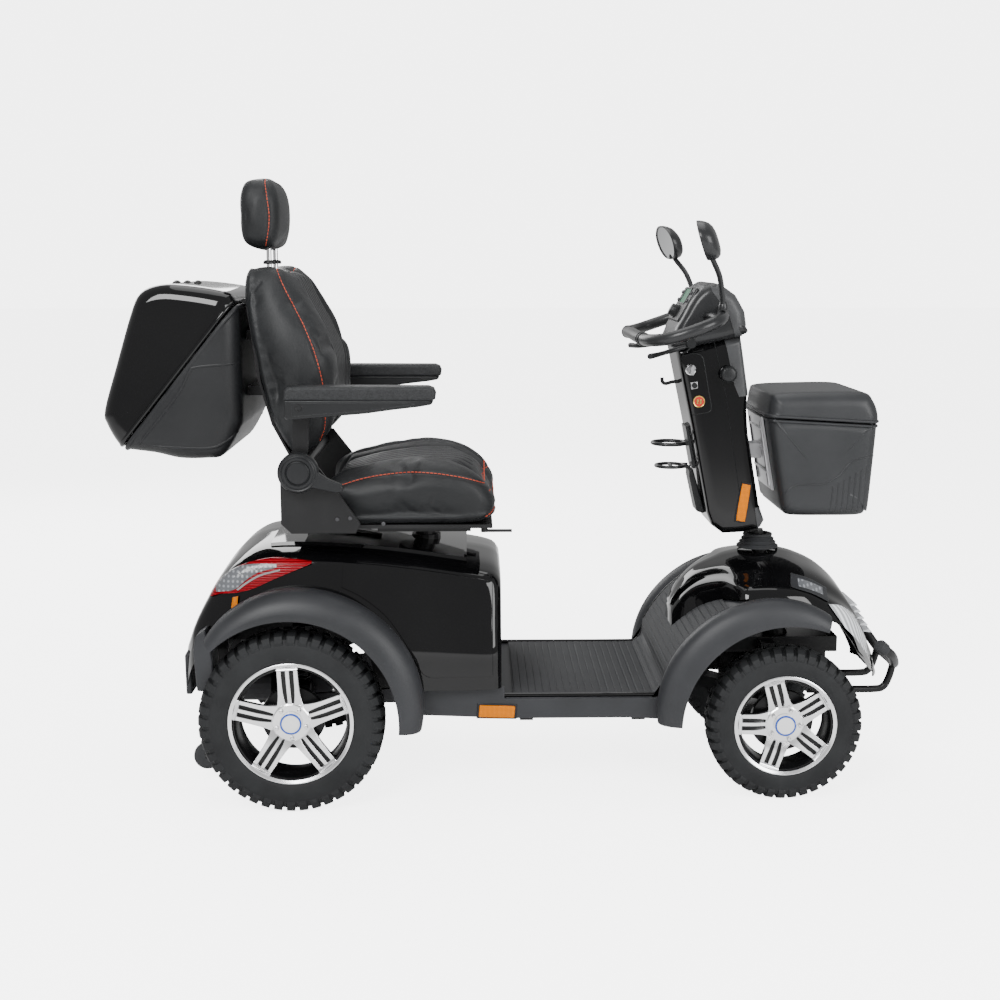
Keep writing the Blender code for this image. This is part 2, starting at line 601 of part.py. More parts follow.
def make_floor():
    """The grey floor tray: a deck with side skirts, and a toe board that rises round the front wheels."""
    toe = arc((FRONT_AXLE.x, FRONT_AXLE.z), 0.286, 154, 112, 8)
    top = [(-0.030, FLOOR_TOP), (0.298, FLOOR_TOP), (0.320, 0.246), (0.332, 0.268), *toe]
    under = [(x, z) for x, z in reversed(arc((FRONT_AXLE.x, FRONT_AXLE.z), 0.281, 154, 112, 8))]
    deck_outline = top + under + [(0.336, 0.290), (0.327, 0.270), (0.317, 0.251), (0.298, 0.2405 - 0.0100), (-0.030, FLOOR_TOP - 0.0055)]
    deck = prism("floor_pan", deck_outline, -FLOOR_HALF_WIDTH, FLOOR_HALF_WIDTH, "grey_plastic")
    parts = []
    for label, side in SIDES:
        skirt = [(-0.234, 0.198), (-0.012, 0.190), (0.250, 0.190), (0.330, 0.184), (0.334, 0.240), (0.300, 0.2345), (-0.036, 0.2345), (-0.036, 0.264), (-0.196, 0.264), (-0.226, 0.284)]
        lows = sorted((side * (FLOOR_HALF_WIDTH - 0.0010), side * (FLOOR_HALF_WIDTH + 0.0045)))
        parts.append(prism("skirt_" + label, skirt, *lows, "grey_plastic"))
    join(deck, *parts)
    mat_top = [(x, z) for x, z in arc((FRONT_AXLE.x, FRONT_AXLE.z), 0.2900, 153, 114, 8)]
    mat_low = [(x, z) for x, z in reversed(arc((FRONT_AXLE.x, FRONT_AXLE.z), 0.2867, 153, 114, 8))]
    rise = 0.0006
    outline = [(-0.018, FLOOR_TOP + 0.0040), (0.296, FLOOR_TOP + 0.0040), (0.317, 0.2495), (0.3285, 0.2700), *mat_top, *mat_low,
               (0.3310, 0.2685), (0.3195, 0.2468), (0.2975, FLOOR_TOP + rise), (-0.018, FLOOR_TOP + rise)]
    prism("floor_mat", outline, -0.224, 0.224, "rubber")


FRONT_COVER_FLOOR = 0.235
FRONT_STATIONS = [
    (0.362, 0.070, 0.050, 0.392, 0.402), (0.385, 0.094, 0.066, 0.430, 0.446), (0.420, 0.112, 0.080, 0.462, 0.482),
    (0.470, 0.160, 0.130, 0.484, 0.508), (0.500, 0.249, 0.205, 0.478, 0.519), (0.560, 0.252, 0.212, 0.480, 0.529),
    (0.620, 0.250, 0.212, 0.478, 0.529), (0.665, 0.240, 0.204, 0.465, 0.516), (0.710, 0.222, 0.188, 0.444, 0.492),
    (0.755, 0.196, 0.165, 0.412, 0.450), (0.795, 0.160, 0.132, 0.366, 0.388), (0.830, 0.110, 0.088, 0.300, 0.312),
    (0.843, 0.080, 0.062, 0.262, 0.266),
]


def front_cover_solid(name, grow):
    stations = [list(s) for s in FRONT_STATIONS]
    stations[0][0] -= grow
    stations[-1][0] += grow
    return loft(name, cover_loops(stations, FRONT_COVER_FLOOR, thickness=-grow), "gloss_black")


def make_front_cover():
    cover = front_cover_solid("front_shroud", 0.0)
    inside_stations = [list(s) for s in FRONT_STATIONS]
    inside_stations[0][0] += SHELL
    inside_stations[-1][0] -= SHELL
    inside = loft("front_inside", cover_loops(inside_stations, FRONT_COVER_FLOOR, drop=0.02, thickness=SHELL), "gloss_black")
    cutters = [inside]
    for label, side in SIDES:
        cutters.append(wheel_arch_cutter("front_arch_" + label, FRONT_AXLE, 0.262, 0.102, 0.400, side))
    spine_clear = [(0.355, 0.200), (0.355, 0.330), (0.470, 0.330), (0.740, 0.330), (0.780, 0.200)]
    cutters.append(prism("front_low_cut", spine_clear, -0.300, 0.300, "gloss_black"))
    toe_clear = arc((FRONT_AXLE.x, FRONT_AXLE.z), 0.2915, 160, 108, 8) + [(0.505, 0.300), (0.300, 0.200)]
    cutters.append(prism("toe_board_cut", toe_clear, -0.300, 0.300, "gloss_black"))
    neck_low, neck_high = steering_axis_at(0.480), steering_axis_at(0.560)
    cutters.append(rod("neck_hole", neck_low, neck_high, 0.044, "gloss_black", 16))
    cut(cover, *cutters)


def make_headlight():
    """The clear lens in the nose."""
    outline = [(-0.070, 0.330), (0.070, 0.330), (0.095, 0.420), (-0.095, 0.420)]
    lens = prism("headlight", outline, 0.760, 0.860, "clear_lens", axis="X")
    combine(lens, "INTERSECT", front_cover_solid("headlight_skin", 0.0060))
    cut(lens, front_cover_solid("headlight_back", 0.0015))


def make_bumper():
    """Two bent tubes that carry a bowed cross bar."""
    bar_points = [(0.838, -0.150, 0.322), (0.868, -0.125, 0.297), (0.891, -0.070, 0.262), (0.8990, 0.0, 0.256),
                  (0.891, 0.070, 0.262), (0.868, 0.125, 0.297), (0.838, 0.150, 0.322)]
    bumper = tube("front_bumper", smooth_path(bar_points, 3), 0.0120, "black_steel", 6)
    for label, side in SIDES:
        y = side * 0.068
        leg_points = [(0.715, y, 0.199), (0.800, y, 0.199), (0.850, y, 0.199), (0.872, y, 0.207), (0.882, y, 0.228), (0.890, y, 0.260)]
        join(bumper, tube("bumper_leg_" + label, smooth_path(leg_points, 2), 0.0085, "black_steel", 6))
    plate = box("bumper_plate", (0.705, -0.075, 0.1840), (0.725, 0.075, 0.1790 - 0.0006 + 0.0150), "black_steel")
    join(bumper, plate)
    cut(bumper, box("bumper_plate_gap", (0.690, -0.0400, 0.150), (0.740, 0.0400, 0.230), "black_steel"))


# ---------------------------------------------------------------- steering and tiller
def make_steering():
    """The stem that turns in the head tube, with the tongue that the tiller tilts on."""
    stem = rod("steering_stem", steering_axis_at(0.262), steering_axis_at(0.572), 0.0175, "black_steel", 16, pivot=STEERING_POINT)
    px, pz = TILT_PIVOT.x, TILT_PIVOT.z
    tongue_outline = arc((px, pz), 0.018, -20, 215, 10) + [(0.5535, 0.5675), (0.572, 0.5675)]
    join(stem, prism("tilt_tongue", tongue_outline, -0.0120, 0.0120, "black_steel"))
    join(stem, rod("pitman_disc", steering_axis_at(0.262), steering_axis_at(0.278), 0.0290, "black_steel", 16))
    cut(stem, rod("tilt_bore", (px, -0.05, pz), (px, 0.05, pz), 0.0085, "black_steel", 12))
    boot = [(0.0230, 0.0), (0.060, 0.0), (0.060, 0.006), (0.050, 0.010), (0.054, 0.014), (0.043, 0.018),
            (0.047, 0.022), (0.036, 0.026), (0.038, 0.033), (0.0230, 0.033)]
    turned("tiller_boot", boot, (0.571, 0, 0.5325), (0, 0, 1), "rubber", steps=14)


BOX_BACK = [(0.5545, 0.850), (0.5595, 0.850), (0.5762, 0.757), (0.5905, 0.680), (0.5855, 0.680), (0.5712, 0.757)]


def make_tiller_column():
    """Fork, pin and upright, with the bracket that carries the front box."""
    px, pz = TILT_PIVOT.x, TILT_PIVOT.z
    column = rod("tiller_column", (0.522, 0, 0.655), (0.452, 0, 1.070), 0.0160, "black_steel", 14, pivot=TILT_PIVOT)
    parts = [
        rod("tilt_pin", (px, -0.0270, pz), (px, 0.0270, pz), 0.0070, "black_steel", 12),
        prism("fork_block", [(px - 0.024, 0.6465), (px + 0.014, 0.6465), (px + 0.010, 0.672), (px - 0.028, 0.672)], -0.0205, 0.0205, "black_steel"),
        prism("box_bracket", BOX_BACK, -0.080, 0.080, "alloy"),
        box("bracket_arm", (0.500, -0.028, 0.748), (0.5690, 0.028, 0.782), "alloy"),
    ]
    for label, side in SIDES:
        cheek = arc((px, pz), 0.017, 180, 360, 9) + [(px + 0.014, 0.655), (px - 0.024, 0.655)]
        parts.append(prism("fork_cheek_" + label, cheek, *sorted((side * 0.0145, side * 0.0205)), "black_steel"))
    join(column, *parts)


TILLER_OUTLINE = [
    (0.357, 1.0055), (0.395, 0.831), (0.437, 0.625), (0.448, 0.598), (0.475, 0.576), (0.518, 0.579), (0.560, 0.587),
    (0.570, 0.609), (0.559, 0.636), (0.527, 0.813), (0.522, 0.872), (0.523, 0.906), (0.503, 1.0325),
]
TILLER_INSIDE = [
    (0.358, 1.050), (0.3998, 0.832), (0.4416, 0.627), (0.4525, 0.603), (0.468, 0.560), (0.575, 0.560), (0.5650, 0.609),
    (0.5545, 0.635), (0.5225, 0.812), (0.5175, 0.872), (0.5185, 0.905), (0.492, 1.060),
]


def make_tiller_cover():
    shroud = prism("tiller_shroud", TILLER_OUTLINE, -TILLER_HALF_WIDTH, TILLER_HALF_WIDTH, "gloss_black", pivot=TILT_PIVOT)
    bevel(shroud, 0.012, angle=60)
    hook = [(0.376, 0.930), (0.352, 0.926), (0.342, 0.938), (0.336, 0.938), (0.340, 0.920), (0.352, 0.913), (0.380, 0.914)]
    join(shroud, prism("bag_hook", hook, -0.010, 0.010, "gloss_black"))
    inner = TILLER_HALF_WIDTH - SHELL
    cut(shroud, prism("tiller_inside", TILLER_INSIDE, -inner, inner, "gloss_black"))
    cut(shroud, box("bracket_slot", (0.500, -0.0300, 0.746), (0.560, 0.0300, 0.784), "gloss_black"))


CONSOLE_OUTLINE = [
    (0.354, 1.0065), (0.505, 1.0360), (0.513, 1.060), (0.508, 1.090), (0.487, 1.126), (0.452, 1.150), (0.425, 1.152),
    (0.395, 1.125), (0.372, 1.085), (0.352, 1.045),
]
CONSOLE_INSIDE = [
    (0.358, 0.990), (0.500, 0.990), (0.508, 1.060), (0.503, 1.088), (0.483, 1.122), (0.450, 1.145), (0.428, 1.146),
    (0.400, 1.121), (0.377, 1.083), (0.358, 1.044),
]
CONSOLE_HALF_WIDTH = 0.108


def handle_path():
    """The closed loop that the rider holds, from the front middle round the right and back along the left."""
    right = [(0.462, 0.0, 1.093), (0.456, -0.100, 1.091), (0.440, -0.200, 1.082), (0.413, -0.246, 1.071), (0.361, -0.258, 1.052),
             (0.312, -0.242, 1.037), (0.279, -0.190, 1.032), (0.268, -0.100, 1.034), (0.266, 0.0, 1.036)]
    left = [(x, -y, z) for x, y, z in reversed(right[1:-1])]
    points = [Vector(p) for p in right + left]
    count = len(points)
    path = []
    for i in range(count):
        a, b, c, d = points[i - 1], points[i], points[(i + 1) % count], points[(i + 2) % count]
        for k in range(2):
            t = k / 2
            path.append(0.5 * (2 * b + (c - a) * t + (2 * a - 5 * b + 4 * c - d) * t * t
                               + (3 * b - a - 3 * c + d) * t ** 3))
    return path


LEVER_PIVOT = Vector((0.385, 0.0, 1.020))


def make_controls():
    console = prism("console", CONSOLE_OUTLINE, -CONSOLE_HALF_WIDTH, CONSOLE_HALF_WIDTH, "grey_plastic", pivot=TILT_PIVOT)
    bevel(console, 0.014, angle=60)
    inner = CONSOLE_HALF_WIDTH - SHELL
    cut(console, prism("console_inside", CONSOLE_INSIDE, -inner, inner, "grey_plastic"))
    cut(console, tube("handle_way", handle_path(), 0.0140, "grey_plastic", 6, closed=True))
    tube("handlebar", handle_path(), 0.0130, "black_plastic", 6, pivot=TILT_PIVOT, closed=True)
    for label, side in SIDES:
        name = "throttle_lever" if side < 0 else "brake_lever"
        pivot = LEVER_PIVOT + Vector((0, side * 0.1180, 0))
        lever = rod(name, pivot - Vector((0, 0.0090, 0)), pivot + Vector((0, 0.0090, 0)), 0.0110, "black_plastic", 12, pivot=pivot)
        blade = smooth_path([(0.383, side * 0.118, 1.016), (0.345, side * 0.128, 1.006), (0.305, side * 0.160, 0.998), (0.283, side * 0.200, 0.997)], 3)
        join(lever, tube("lever_blade_" + label, blade, 0.0058, "black_plastic", 6))
        make_mirror(label, side)
    key_place = Vector((0.390, -TILLER_HALF_WIDTH - GAP, 0.959))
    key = rod("ignition_key", key_place, key_place - Vector((0, 0.010, 0)), 0.0110, "chrome", 14, pivot=key_place)
    join(key, box("key_grip", (0.3875, -0.120, 0.948), (0.3925, -0.096, 0.970), "black_plastic"))
    knob_place = Vector((0.474, -TILLER_HALF_WIDTH - GAP, 0.950))
    knob = [(0.017, 0.0), (0.019, 0.008), (0.019, 0.022), (0.015, 0.026)]
    turned("tilt_lock_knob", knob, knob_place, (0, -1, 0), "chrome", steps=14, pivot=knob_place, open_ends=True)


def make_mirror(label, side):
    base = Vector((0.441, side * 0.200, 1.0965))
    name = "mirror_" + label
    stalk = rod(name, base, base + Vector((0, 0, 0.020)), 0.0095, "black_plastic", 12, pivot=base)
    path = smooth_path([base + Vector((0, 0, 0.010)), (0.436, side * 0.212, 1.130), (0.424, side * 0.245, 1.170), (0.402, side * 0.285, 1.205), (0.393, side * 0.296, 1.235)], 3)
    loops = []
    for depth, scale in ((-0.016, 0.94), (-0.010, 1.0), (0.006, 0.90), (0.018, 0.55)):
        loop = []
        for k in range(16):
            angle = 2 * math.pi * k / 16
            across = math.copysign(abs(math.cos(angle)) ** 0.6, math.cos(angle)) * 0.062 * scale
            up = math.copysign(abs(math.sin(angle)) ** 0.6, math.sin(angle)) * 0.042 * scale
            loop.append((0.392 + depth - 0.12 * up, side * 0.300 + across, 1.246 + up))
        loops.append(loop)
    join(stalk, tube("stalk_" + label, path, 0.0050, "black_plastic", 6), loft("mirror_head_" + label, loops, "black_plastic"))


FRONT_BOX_OUTLINE = [
    (0.5615, 0.853), (0.577, 0.758), (0.597, 0.653), (0.623, 0.627), (0.770, 0.629), (0.796, 0.650), (0.8085, 0.8385),
]
FRONT_LID_OUTLINE = [(0.5618, 0.856), (0.8100, 0.8415), (0.8110, 0.862), (0.800, 0.892), (0.774, 0.912), (0.582, 0.910), (0.566, 0.898)]
FRONT_LID_HINGE = Vector((0.8115, 0.0, 0.8405))


def make_front_box():
    half = FRONT_BOX_HALF_WIDTH
    body = prism("front_box", FRONT_BOX_OUTLINE, -half, half, "grey_plastic", pivot=TILT_PIVOT)
    bevel(body, 0.010, angle=60)
    inside = inset_outline(FRONT_BOX_OUTLINE, 0.0045)
    inside[0], inside[-1] = (0.5640, 0.900), (0.8060, 0.900)
    cut(body, prism("front_box_inside", inside, -half + 0.0045, half - 0.0045, "grey_plastic"))
    lid = prism("front_box_lid", FRONT_LID_OUTLINE, -half - 0.0020, half + 0.0020, "grey_plastic", pivot=FRONT_LID_HINGE)
    bevel(lid, 0.010, angle=60)
    lid_inside = inset_outline(FRONT_LID_OUTLINE, 0.0040)
    lid_inside[0], lid_inside[1] = (0.5665, 0.830), (0.8060, 0.820)
    cut(lid, prism("front_lid_inside", lid_inside, -half + 0.0020, half - 0.0020, "grey_plastic"))
    tab = [(0.5645, 0.861), (0.5645, 0.874), (0.5535, 0.868), (0.5535, 0.854), (0.5595, 0.854), (0.5605, 0.858)]
    join(lid, prism("front_lid_tab", tab, -0.070, 0.070, "grey_plastic"))


def ring_path(centre, radius, count=14):
    return [Vector(centre) + Vector((radius * math.cos(2 * math.pi * k / count), radius * math.sin(2 * math.pi * k / count), 0)) for k in range(count)]


def make_cup_holder():
    plate = prism("cup_holder", [(0.3955, 0.824), (0.3885, 0.824), (0.4080, 0.724), (0.4158, 0.724)], -0.034, 0.034, "black_plastic", pivot=TILT_PIVOT)
    upper = tube("cup_ring_upper", ring_path((0.3560, 0, 0.781), 0.0390), 0.0045, "black_plastic", 6, closed=True)
    lower = tube("cup_ring_lower", ring_path((0.3600, 0, 0.727), 0.0340), 0.0040, "black_plastic", 6, closed=True)
    parts = [
        upper, lower,
        box("cup_arm_upper", (0.3900, -0.010, 0.776), (0.4010, 0.010, 0.786), "black_plastic"),
        box("cup_arm_lower", (0.3900, -0.010, 0.7245), (0.4110, 0.010, 0.7300), "black_plastic"),
        box("cup_base_bar", (0.3260, -0.006, 0.7230), (0.3950, 0.006, 0.7290), "black_plastic"),
    ]
    join(plate, *parts)


# ---------------------------------------------------------------- seat
def pillow(name, outline, half_width, rounding, finish, pivot=None, narrow=0.8):
    """A padded block: the outline across the width, drawn in towards both sides."""
    drawn_in = inset_outline(outline, rounding * narrow)
    mid = inset_outline(outline, rounding * narrow * 0.25)
    loops = []
    for y, shape in ((-half_width, drawn_in), (-half_width + 0.4 * rounding, mid), (-half_width + rounding, outline),
                     (half_width - rounding, outline), (half_width - 0.4 * rounding, mid), (half_width, drawn_in)):
        loops.append([(x, y, z) for x, z in shape])
    return loft(name, loops, finish, pivot)


def make_seat_base():
    x = SEAT_POST_X
    post = rod("seat_post", (x, 0, 0.4260), (x, 0, 0.5980), 0.0255, "black_steel", 16)
    join(post, rod("post_flange", (x, 0, 0.5900), (x, 0, 0.6000), 0.0580, "black_steel", 20))
    swivel_at = Vector((x, 0.0, 0.6006))
    plate = box("swivel_plate", (x - 0.105, -0.155, 0.6006), (x + 0.105, 0.155, 0.6080), "black_steel", pivot=swivel_at)
    for label, side in SIDES:
        lows = sorted((side * 0.122, side * 0.142))
        rail = [(x - 0.130, 0.606), (x + 0.130, 0.606), (x + 0.130, 0.6180), (x - 0.130, 0.6180)]
        join(plate, prism("slide_rail_" + label, rail, *lows, "black_steel"))
    frame = box("seat_frame", (-0.500, -0.215, 0.6186), (-0.062, 0.215, 0.6270), "black_steel", pivot=swivel_at)
    for label, side in SIDES:
        arm_low, arm_high = sorted((side * 0.200, side * 0.270))
        join(frame, box("side_arm_" + label, (-0.500, arm_low, 0.6186), (-0.360, arm_high, 0.6270), "black_steel"))
        cheek = [(-0.500, 0.6190), (-0.360, 0.6190), (-0.350, 0.640), (-0.405, 0.720), (-0.455, 0.785), (-0.500, 0.785), (-0.522, 0.740), (-0.522, 0.640)]
        join(frame, prism("recline_cheek_" + label, cheek, *sorted((side * 0.2630, side * 0.2700)), "black_steel"))
        for edge in (0.1170, 0.1435):
            lows = sorted((side * edge, side * (edge + 0.0035)))
            lip = [(-0.480, 0.6100), (-0.075, 0.6100), (-0.075, 0.6200), (-0.480, 0.6200)]
            join(frame, prism(f"slide_lip_{label}_{int(edge * 1000)}", lip, *lows, "black_steel"))
    cut(frame, rod("recline_bore", RECLINE_PIVOT - Vector((0, 0.3, 0)), RECLINE_PIVOT + Vector((0, 0.3, 0)), 0.0135, "black_steel", 14))
    lever_at = Vector((-0.080, -0.180, 0.6080))
    lever = rod("seat_slide_lever", lever_at - Vector((0, 0, 0.0040)), lever_at + Vector((0, 0, 0.0085)), 0.0080, "black_steel", 10, pivot=lever_at)
    join(lever, box("slide_lever_bar", (-0.085, -0.186, 0.6042), (-0.018, -0.174, 0.6092), "black_steel"))


SEAT_OUTLINE = [
    (-0.430, 0.6282), (-0.085, 0.6282), (-0.052, 0.642), (-0.041, 0.668), (-0.049, 0.694), (-0.075, 0.728), (-0.128, 0.756),
    (-0.204, 0.764), (-0.305, 0.753), (-0.372, 0.733), (-0.433, 0.714), (-0.446, 0.690), (-0.442, 0.645),
]
BACK_REAR = [(-0.502, 0.777), (-0.540, 0.850), (-0.566, 0.942), (-0.578, 1.035), (-0.588, 1.105), (-0.590, 1.160), (-0.582, 1.188)]
BACK_FRONT = [
    (-0.560, 1.200), (-0.516, 1.198), (-0.498, 1.173), (-0.472, 1.132), (-0.440, 1.081), (-0.418, 1.035), (-0.407, 0.989),
    (-0.404, 0.928), (-0.415, 0.844), (-0.441, 0.801), (-0.468, 0.779),
]
HEADREST_OUTLINE = [
    (-0.600, 1.232), (-0.570, 1.228), (-0.522, 1.234), (-0.509, 1.300), (-0.515, 1.355), (-0.531, 1.381), (-0.600, 1.383),
    (-0.613, 1.355), (-0.615, 1.285),
]
HEADREST_POST_X = -0.562
HEADREST_POST_Y = 0.055


def make_seat():
    pillow("seat_cushion", SEAT_OUTLINE, 0.256, 0.030, "leather", pivot=(SEAT_POST_X, 0, 0.6282))
    back = pillow("back_cushion", BACK_REAR + BACK_FRONT, 0.252, 0.032, "leather", pivot=RECLINE_PIVOT)
    headrest = pillow("headrest", HEADREST_OUTLINE, 0.128, 0.024, "leather", pivot=(HEADREST_POST_X, 0, 1.200))
    for label, side in SIDES:
        low = Vector((HEADREST_POST_X, side * HEADREST_POST_Y, 1.050))
        cut(back, rod("post_bore_" + label, low - Vector((0, 0, 0.004)), low + Vector((0, 0, 0.200)), 0.0080, "leather", 10))
        join(headrest, rod("headrest_post_" + label, low, low + Vector((0, 0, 0.200)), 0.0060, "chrome", 10))
    make_back_frame()
    for label, side in SIDES:
        pivot = ARMREST_PIVOT + Vector((0, side * 0.2815, 0))
        outline = [(-0.503, 0.919), (-0.499, 0.944), (-0.191, 0.943), (-0.182, 0.933), (-0.185, 0.911), (-0.197, 0.907), (-0.330, 0.886), (-0.497, 0.872), (-0.503, 0.879)]
        arm = prism("armrest_" + label, outline, *sorted((side * 0.2815, side * 0.3400)), "grey_plastic", pivot=pivot)
        bevel(arm, 0.007, angle=60)
        bore_end = ARMREST_PIVOT + Vector((0, side * 0.3300, 0))
        cut(arm, rod("armrest_bore_" + label, ARMREST_PIVOT + Vector((0, side * 0.25, 0)), bore_end, 0.0075, "grey_plastic", 12))
    lever_at = RECLINE_PIVOT - Vector((0, 0.2835, 0))
    lever = turned("recline_lever", [(0.040, 0.0), (0.044, 0.006), (0.044, 0.022), (0.036, 0.030)], lever_at, (0, -1, 0), "grey_plastic", steps=20, pivot=lever_at, open_ends=True)
    handle = [(-0.470, 0.790), (-0.500, 0.735), (-0.392, 0.714), (-0.382, 0.721), (-0.390, 0.733)]
    join(lever, prism("recline_handle", handle, -0.3095, -0.2875, "grey_plastic"))


def make_back_frame():
    """Cross tube, side straps, back panel, and the arms that carry the rear box."""
    reach = Vector((0, 0.2805, 0))
    frame = rod("backrest_frame", RECLINE_PIVOT - reach, RECLINE_PIVOT + reach, 0.0110, "black_steel", 14, pivot=RECLINE_PIVOT)
    rear = [(x - 0.0010, z) for x, z in BACK_REAR[:5]]
    panel = [(-0.484, 0.750)] + rear + [(x - 0.0055, z) for x, z in reversed(rear)] + [(-0.490, 0.748)]
    join(frame, prism("back_panel", panel, -0.200, 0.200, "black_steel"))
    for label, side in SIDES:
        strap = [(-0.495, 0.744), (-0.463, 0.744), (-0.452, 0.915), (-0.488, 0.915)]
        join(frame, prism("strap_" + label, strap, *sorted((side * 0.2750, side * 0.2805)), "black_steel"))
        pin_end = ARMREST_PIVOT + Vector((0, side * 0.3285, 0))
        join(frame, rod("armrest_pin_" + label, ARMREST_PIVOT + Vector((0, side * 0.2760, 0)), pin_end, 0.0060, "black_steel", 12))
    for low, reach_x in ((0.905, -0.5600), (1.030, -0.5815)):
        join(frame, box(f"box_arm_{int(low * 1000)}", (-0.6114, -0.110, low), (reach_x, 0.110, low + 0.020), "black_steel"))
    cut(frame, pillow("cushion_room", inset_outline(BACK_REAR + BACK_FRONT, -0.0008), 0.254, 0.030, "leather"))


REAR_BOX_OUTLINE = [
    (-0.612, 1.116), (-0.612, 0.850), (-0.625, 0.834), (-0.660, 0.780), (-0.746, 0.777), (-0.784, 0.793), (-0.868, 0.800), (-0.882, 0.808),
    (-0.909, 0.860), (-0.911, 0.882), (-0.842, 1.099), (-0.822, 1.139), (-0.778, 1.155), (-0.720, 1.153), (-0.650, 1.143), (-0.622, 1.133),
]
REAR_LID_HINGE = Vector((-0.6125, 0.0, 1.1165))
REAR_PARTING_LOW = (-0.869, 0.8005)


def half_space(name, offset, upper):
    """A large wedge on one side of the rear box's parting line."""
    top = Vector((REAR_LID_HINGE.x, REAR_LID_HINGE.z))
    low = Vector(REAR_PARTING_LOW)
    along = (top - low).normalized()
    normal = Vector((-along.y, along.x)) * (1 if upper else -1)
    a, b = low - along * 0.3 + normal * offset, top + along * 0.3 + normal * offset
    outline = [tuple(a), tuple(b), tuple(b + normal * 0.9), tuple(a + normal * 0.9)]
    return prism(name, outline, -0.40, 0.40, "gloss_black")


def make_rear_box():
    half = REAR_BOX_HALF_WIDTH
    inside = inset_outline(REAR_BOX_OUTLINE, 0.0042)
    for name, finish, upper in (("rear_box", "grey_plastic", False), ("rear_box_lid", "gloss_black", True)):
        pivot = REAR_LID_HINGE if upper else RECLINE_PIVOT
        piece = pillow(name, REAR_BOX_OUTLINE, half, 0.020, finish, pivot=pivot, narrow=0.5)
        if upper:
            handle = [(-0.790, 1.150), (-0.712, 1.150), (-0.716, 1.166), (-0.786, 1.168)]
            join(piece, prism("box_handle", handle, -0.050, 0.050, finish))
        combine(piece, "INTERSECT", half_space(name + "_half", 0.0004, upper))
        cut(piece, pillow(name + "_inside", inside, half - 0.0042, 0.018, finish, narrow=0.5))


# ---------------------------------------------------------------- build everything
def main():
    clear_scene()
    make_wheels()
    make_frame()
    make_battery()
    make_transaxle()
    make_motor()
    make_front_axle()
    make_rear_cover()
    make_tail_lights()
    make_fenders()
    make_floor()
    make_front_cover()
    make_headlight()
    make_bumper()
    make_steering()
    make_tiller_column()
    make_tiller_cover()
    make_controls()
    make_front_box()
    make_cup_holder()
    make_seat_base()
    make_seat()
    make_rear_box()


main()
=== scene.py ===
"""The looks of the mobility scooter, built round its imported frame. Metres: +X forward, +Y left, +Z up."""

import math

import bmesh
import bpy
from mathutils import Matrix, Vector
from mathutils.bvhtree import BVHTree
from mathutils.kdtree import KDTree


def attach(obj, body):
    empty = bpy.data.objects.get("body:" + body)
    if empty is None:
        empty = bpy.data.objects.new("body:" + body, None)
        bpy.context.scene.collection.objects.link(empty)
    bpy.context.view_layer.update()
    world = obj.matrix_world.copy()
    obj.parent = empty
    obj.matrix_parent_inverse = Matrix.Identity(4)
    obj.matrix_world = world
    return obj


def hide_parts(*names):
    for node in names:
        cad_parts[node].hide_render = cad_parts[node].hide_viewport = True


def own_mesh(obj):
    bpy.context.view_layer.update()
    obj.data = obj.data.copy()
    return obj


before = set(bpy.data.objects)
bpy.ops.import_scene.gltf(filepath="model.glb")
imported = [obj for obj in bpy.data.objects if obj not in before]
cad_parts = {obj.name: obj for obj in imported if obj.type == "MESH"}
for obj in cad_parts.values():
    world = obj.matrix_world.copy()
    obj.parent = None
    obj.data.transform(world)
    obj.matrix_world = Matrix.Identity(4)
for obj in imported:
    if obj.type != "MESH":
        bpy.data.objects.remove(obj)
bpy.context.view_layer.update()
SIDES = (("right", -1), ("left", 1))

REAR_AXLE = (-0.505, 0.205)
FRONT_AXLE = (0.594, 0.175)


# ------------------------------------------------------------ materials
def nodes_of(name):
    made = bpy.data.materials.new(name)
    made.use_nodes = True
    tree = made.node_tree
    return made, tree, tree.nodes["Principled BSDF"]


def add_noise(tree, scale, detail=3.0, stretch=(1, 1, 1)):
    place = tree.nodes.new("ShaderNodeTexCoord")
    mapping = tree.nodes.new("ShaderNodeMapping")
    mapping.inputs["Scale"].default_value = stretch
    noise = tree.nodes.new("ShaderNodeTexNoise")
    noise.inputs["Scale"].default_value = scale
    noise.inputs["Detail"].default_value = detail
    tree.links.new(place.outputs["Object"], mapping.inputs["Vector"])
    tree.links.new(mapping.outputs["Vector"], noise.inputs["Vector"])
    return noise, mapping


def add_bump(tree, shader, height, strength, distance, normal=None):
    bump = tree.nodes.new("ShaderNodeBump")
    bump.inputs["Strength"].default_value = strength
    bump.inputs["Distance"].default_value = distance
    tree.links.new(height, bump.inputs["Height"])
    if normal:
        tree.links.new(normal, bump.inputs["Normal"])
    tree.links.new(bump.outputs["Normal"], shader.inputs["Normal"])
    return bump.outputs["Normal"]


def vary(tree, shader, socket, source, low, high):
    ramp = tree.nodes.new("ShaderNodeMapRange")
    ramp.inputs["To Min"].default_value = low
    ramp.inputs["To Max"].default_value = high
    tree.links.new(source, ramp.inputs["Value"])
    tree.links.new(ramp.outputs["Result"], shader.inputs[socket])


def vary_colour(tree, shader, source, dark, light):
    ramp = tree.nodes.new("ShaderNodeValToRGB")
    ramp.color_ramp.elements[0].position = 0.35
    ramp.color_ramp.elements[1].position = 0.68
    ramp.color_ramp.elements[0].color = (*dark, 1)
    ramp.color_ramp.elements[1].color = (*light, 1)
    tree.links.new(source, ramp.inputs["Fac"])
    tree.links.new(ramp.outputs["Color"], shader.inputs["Base Color"])


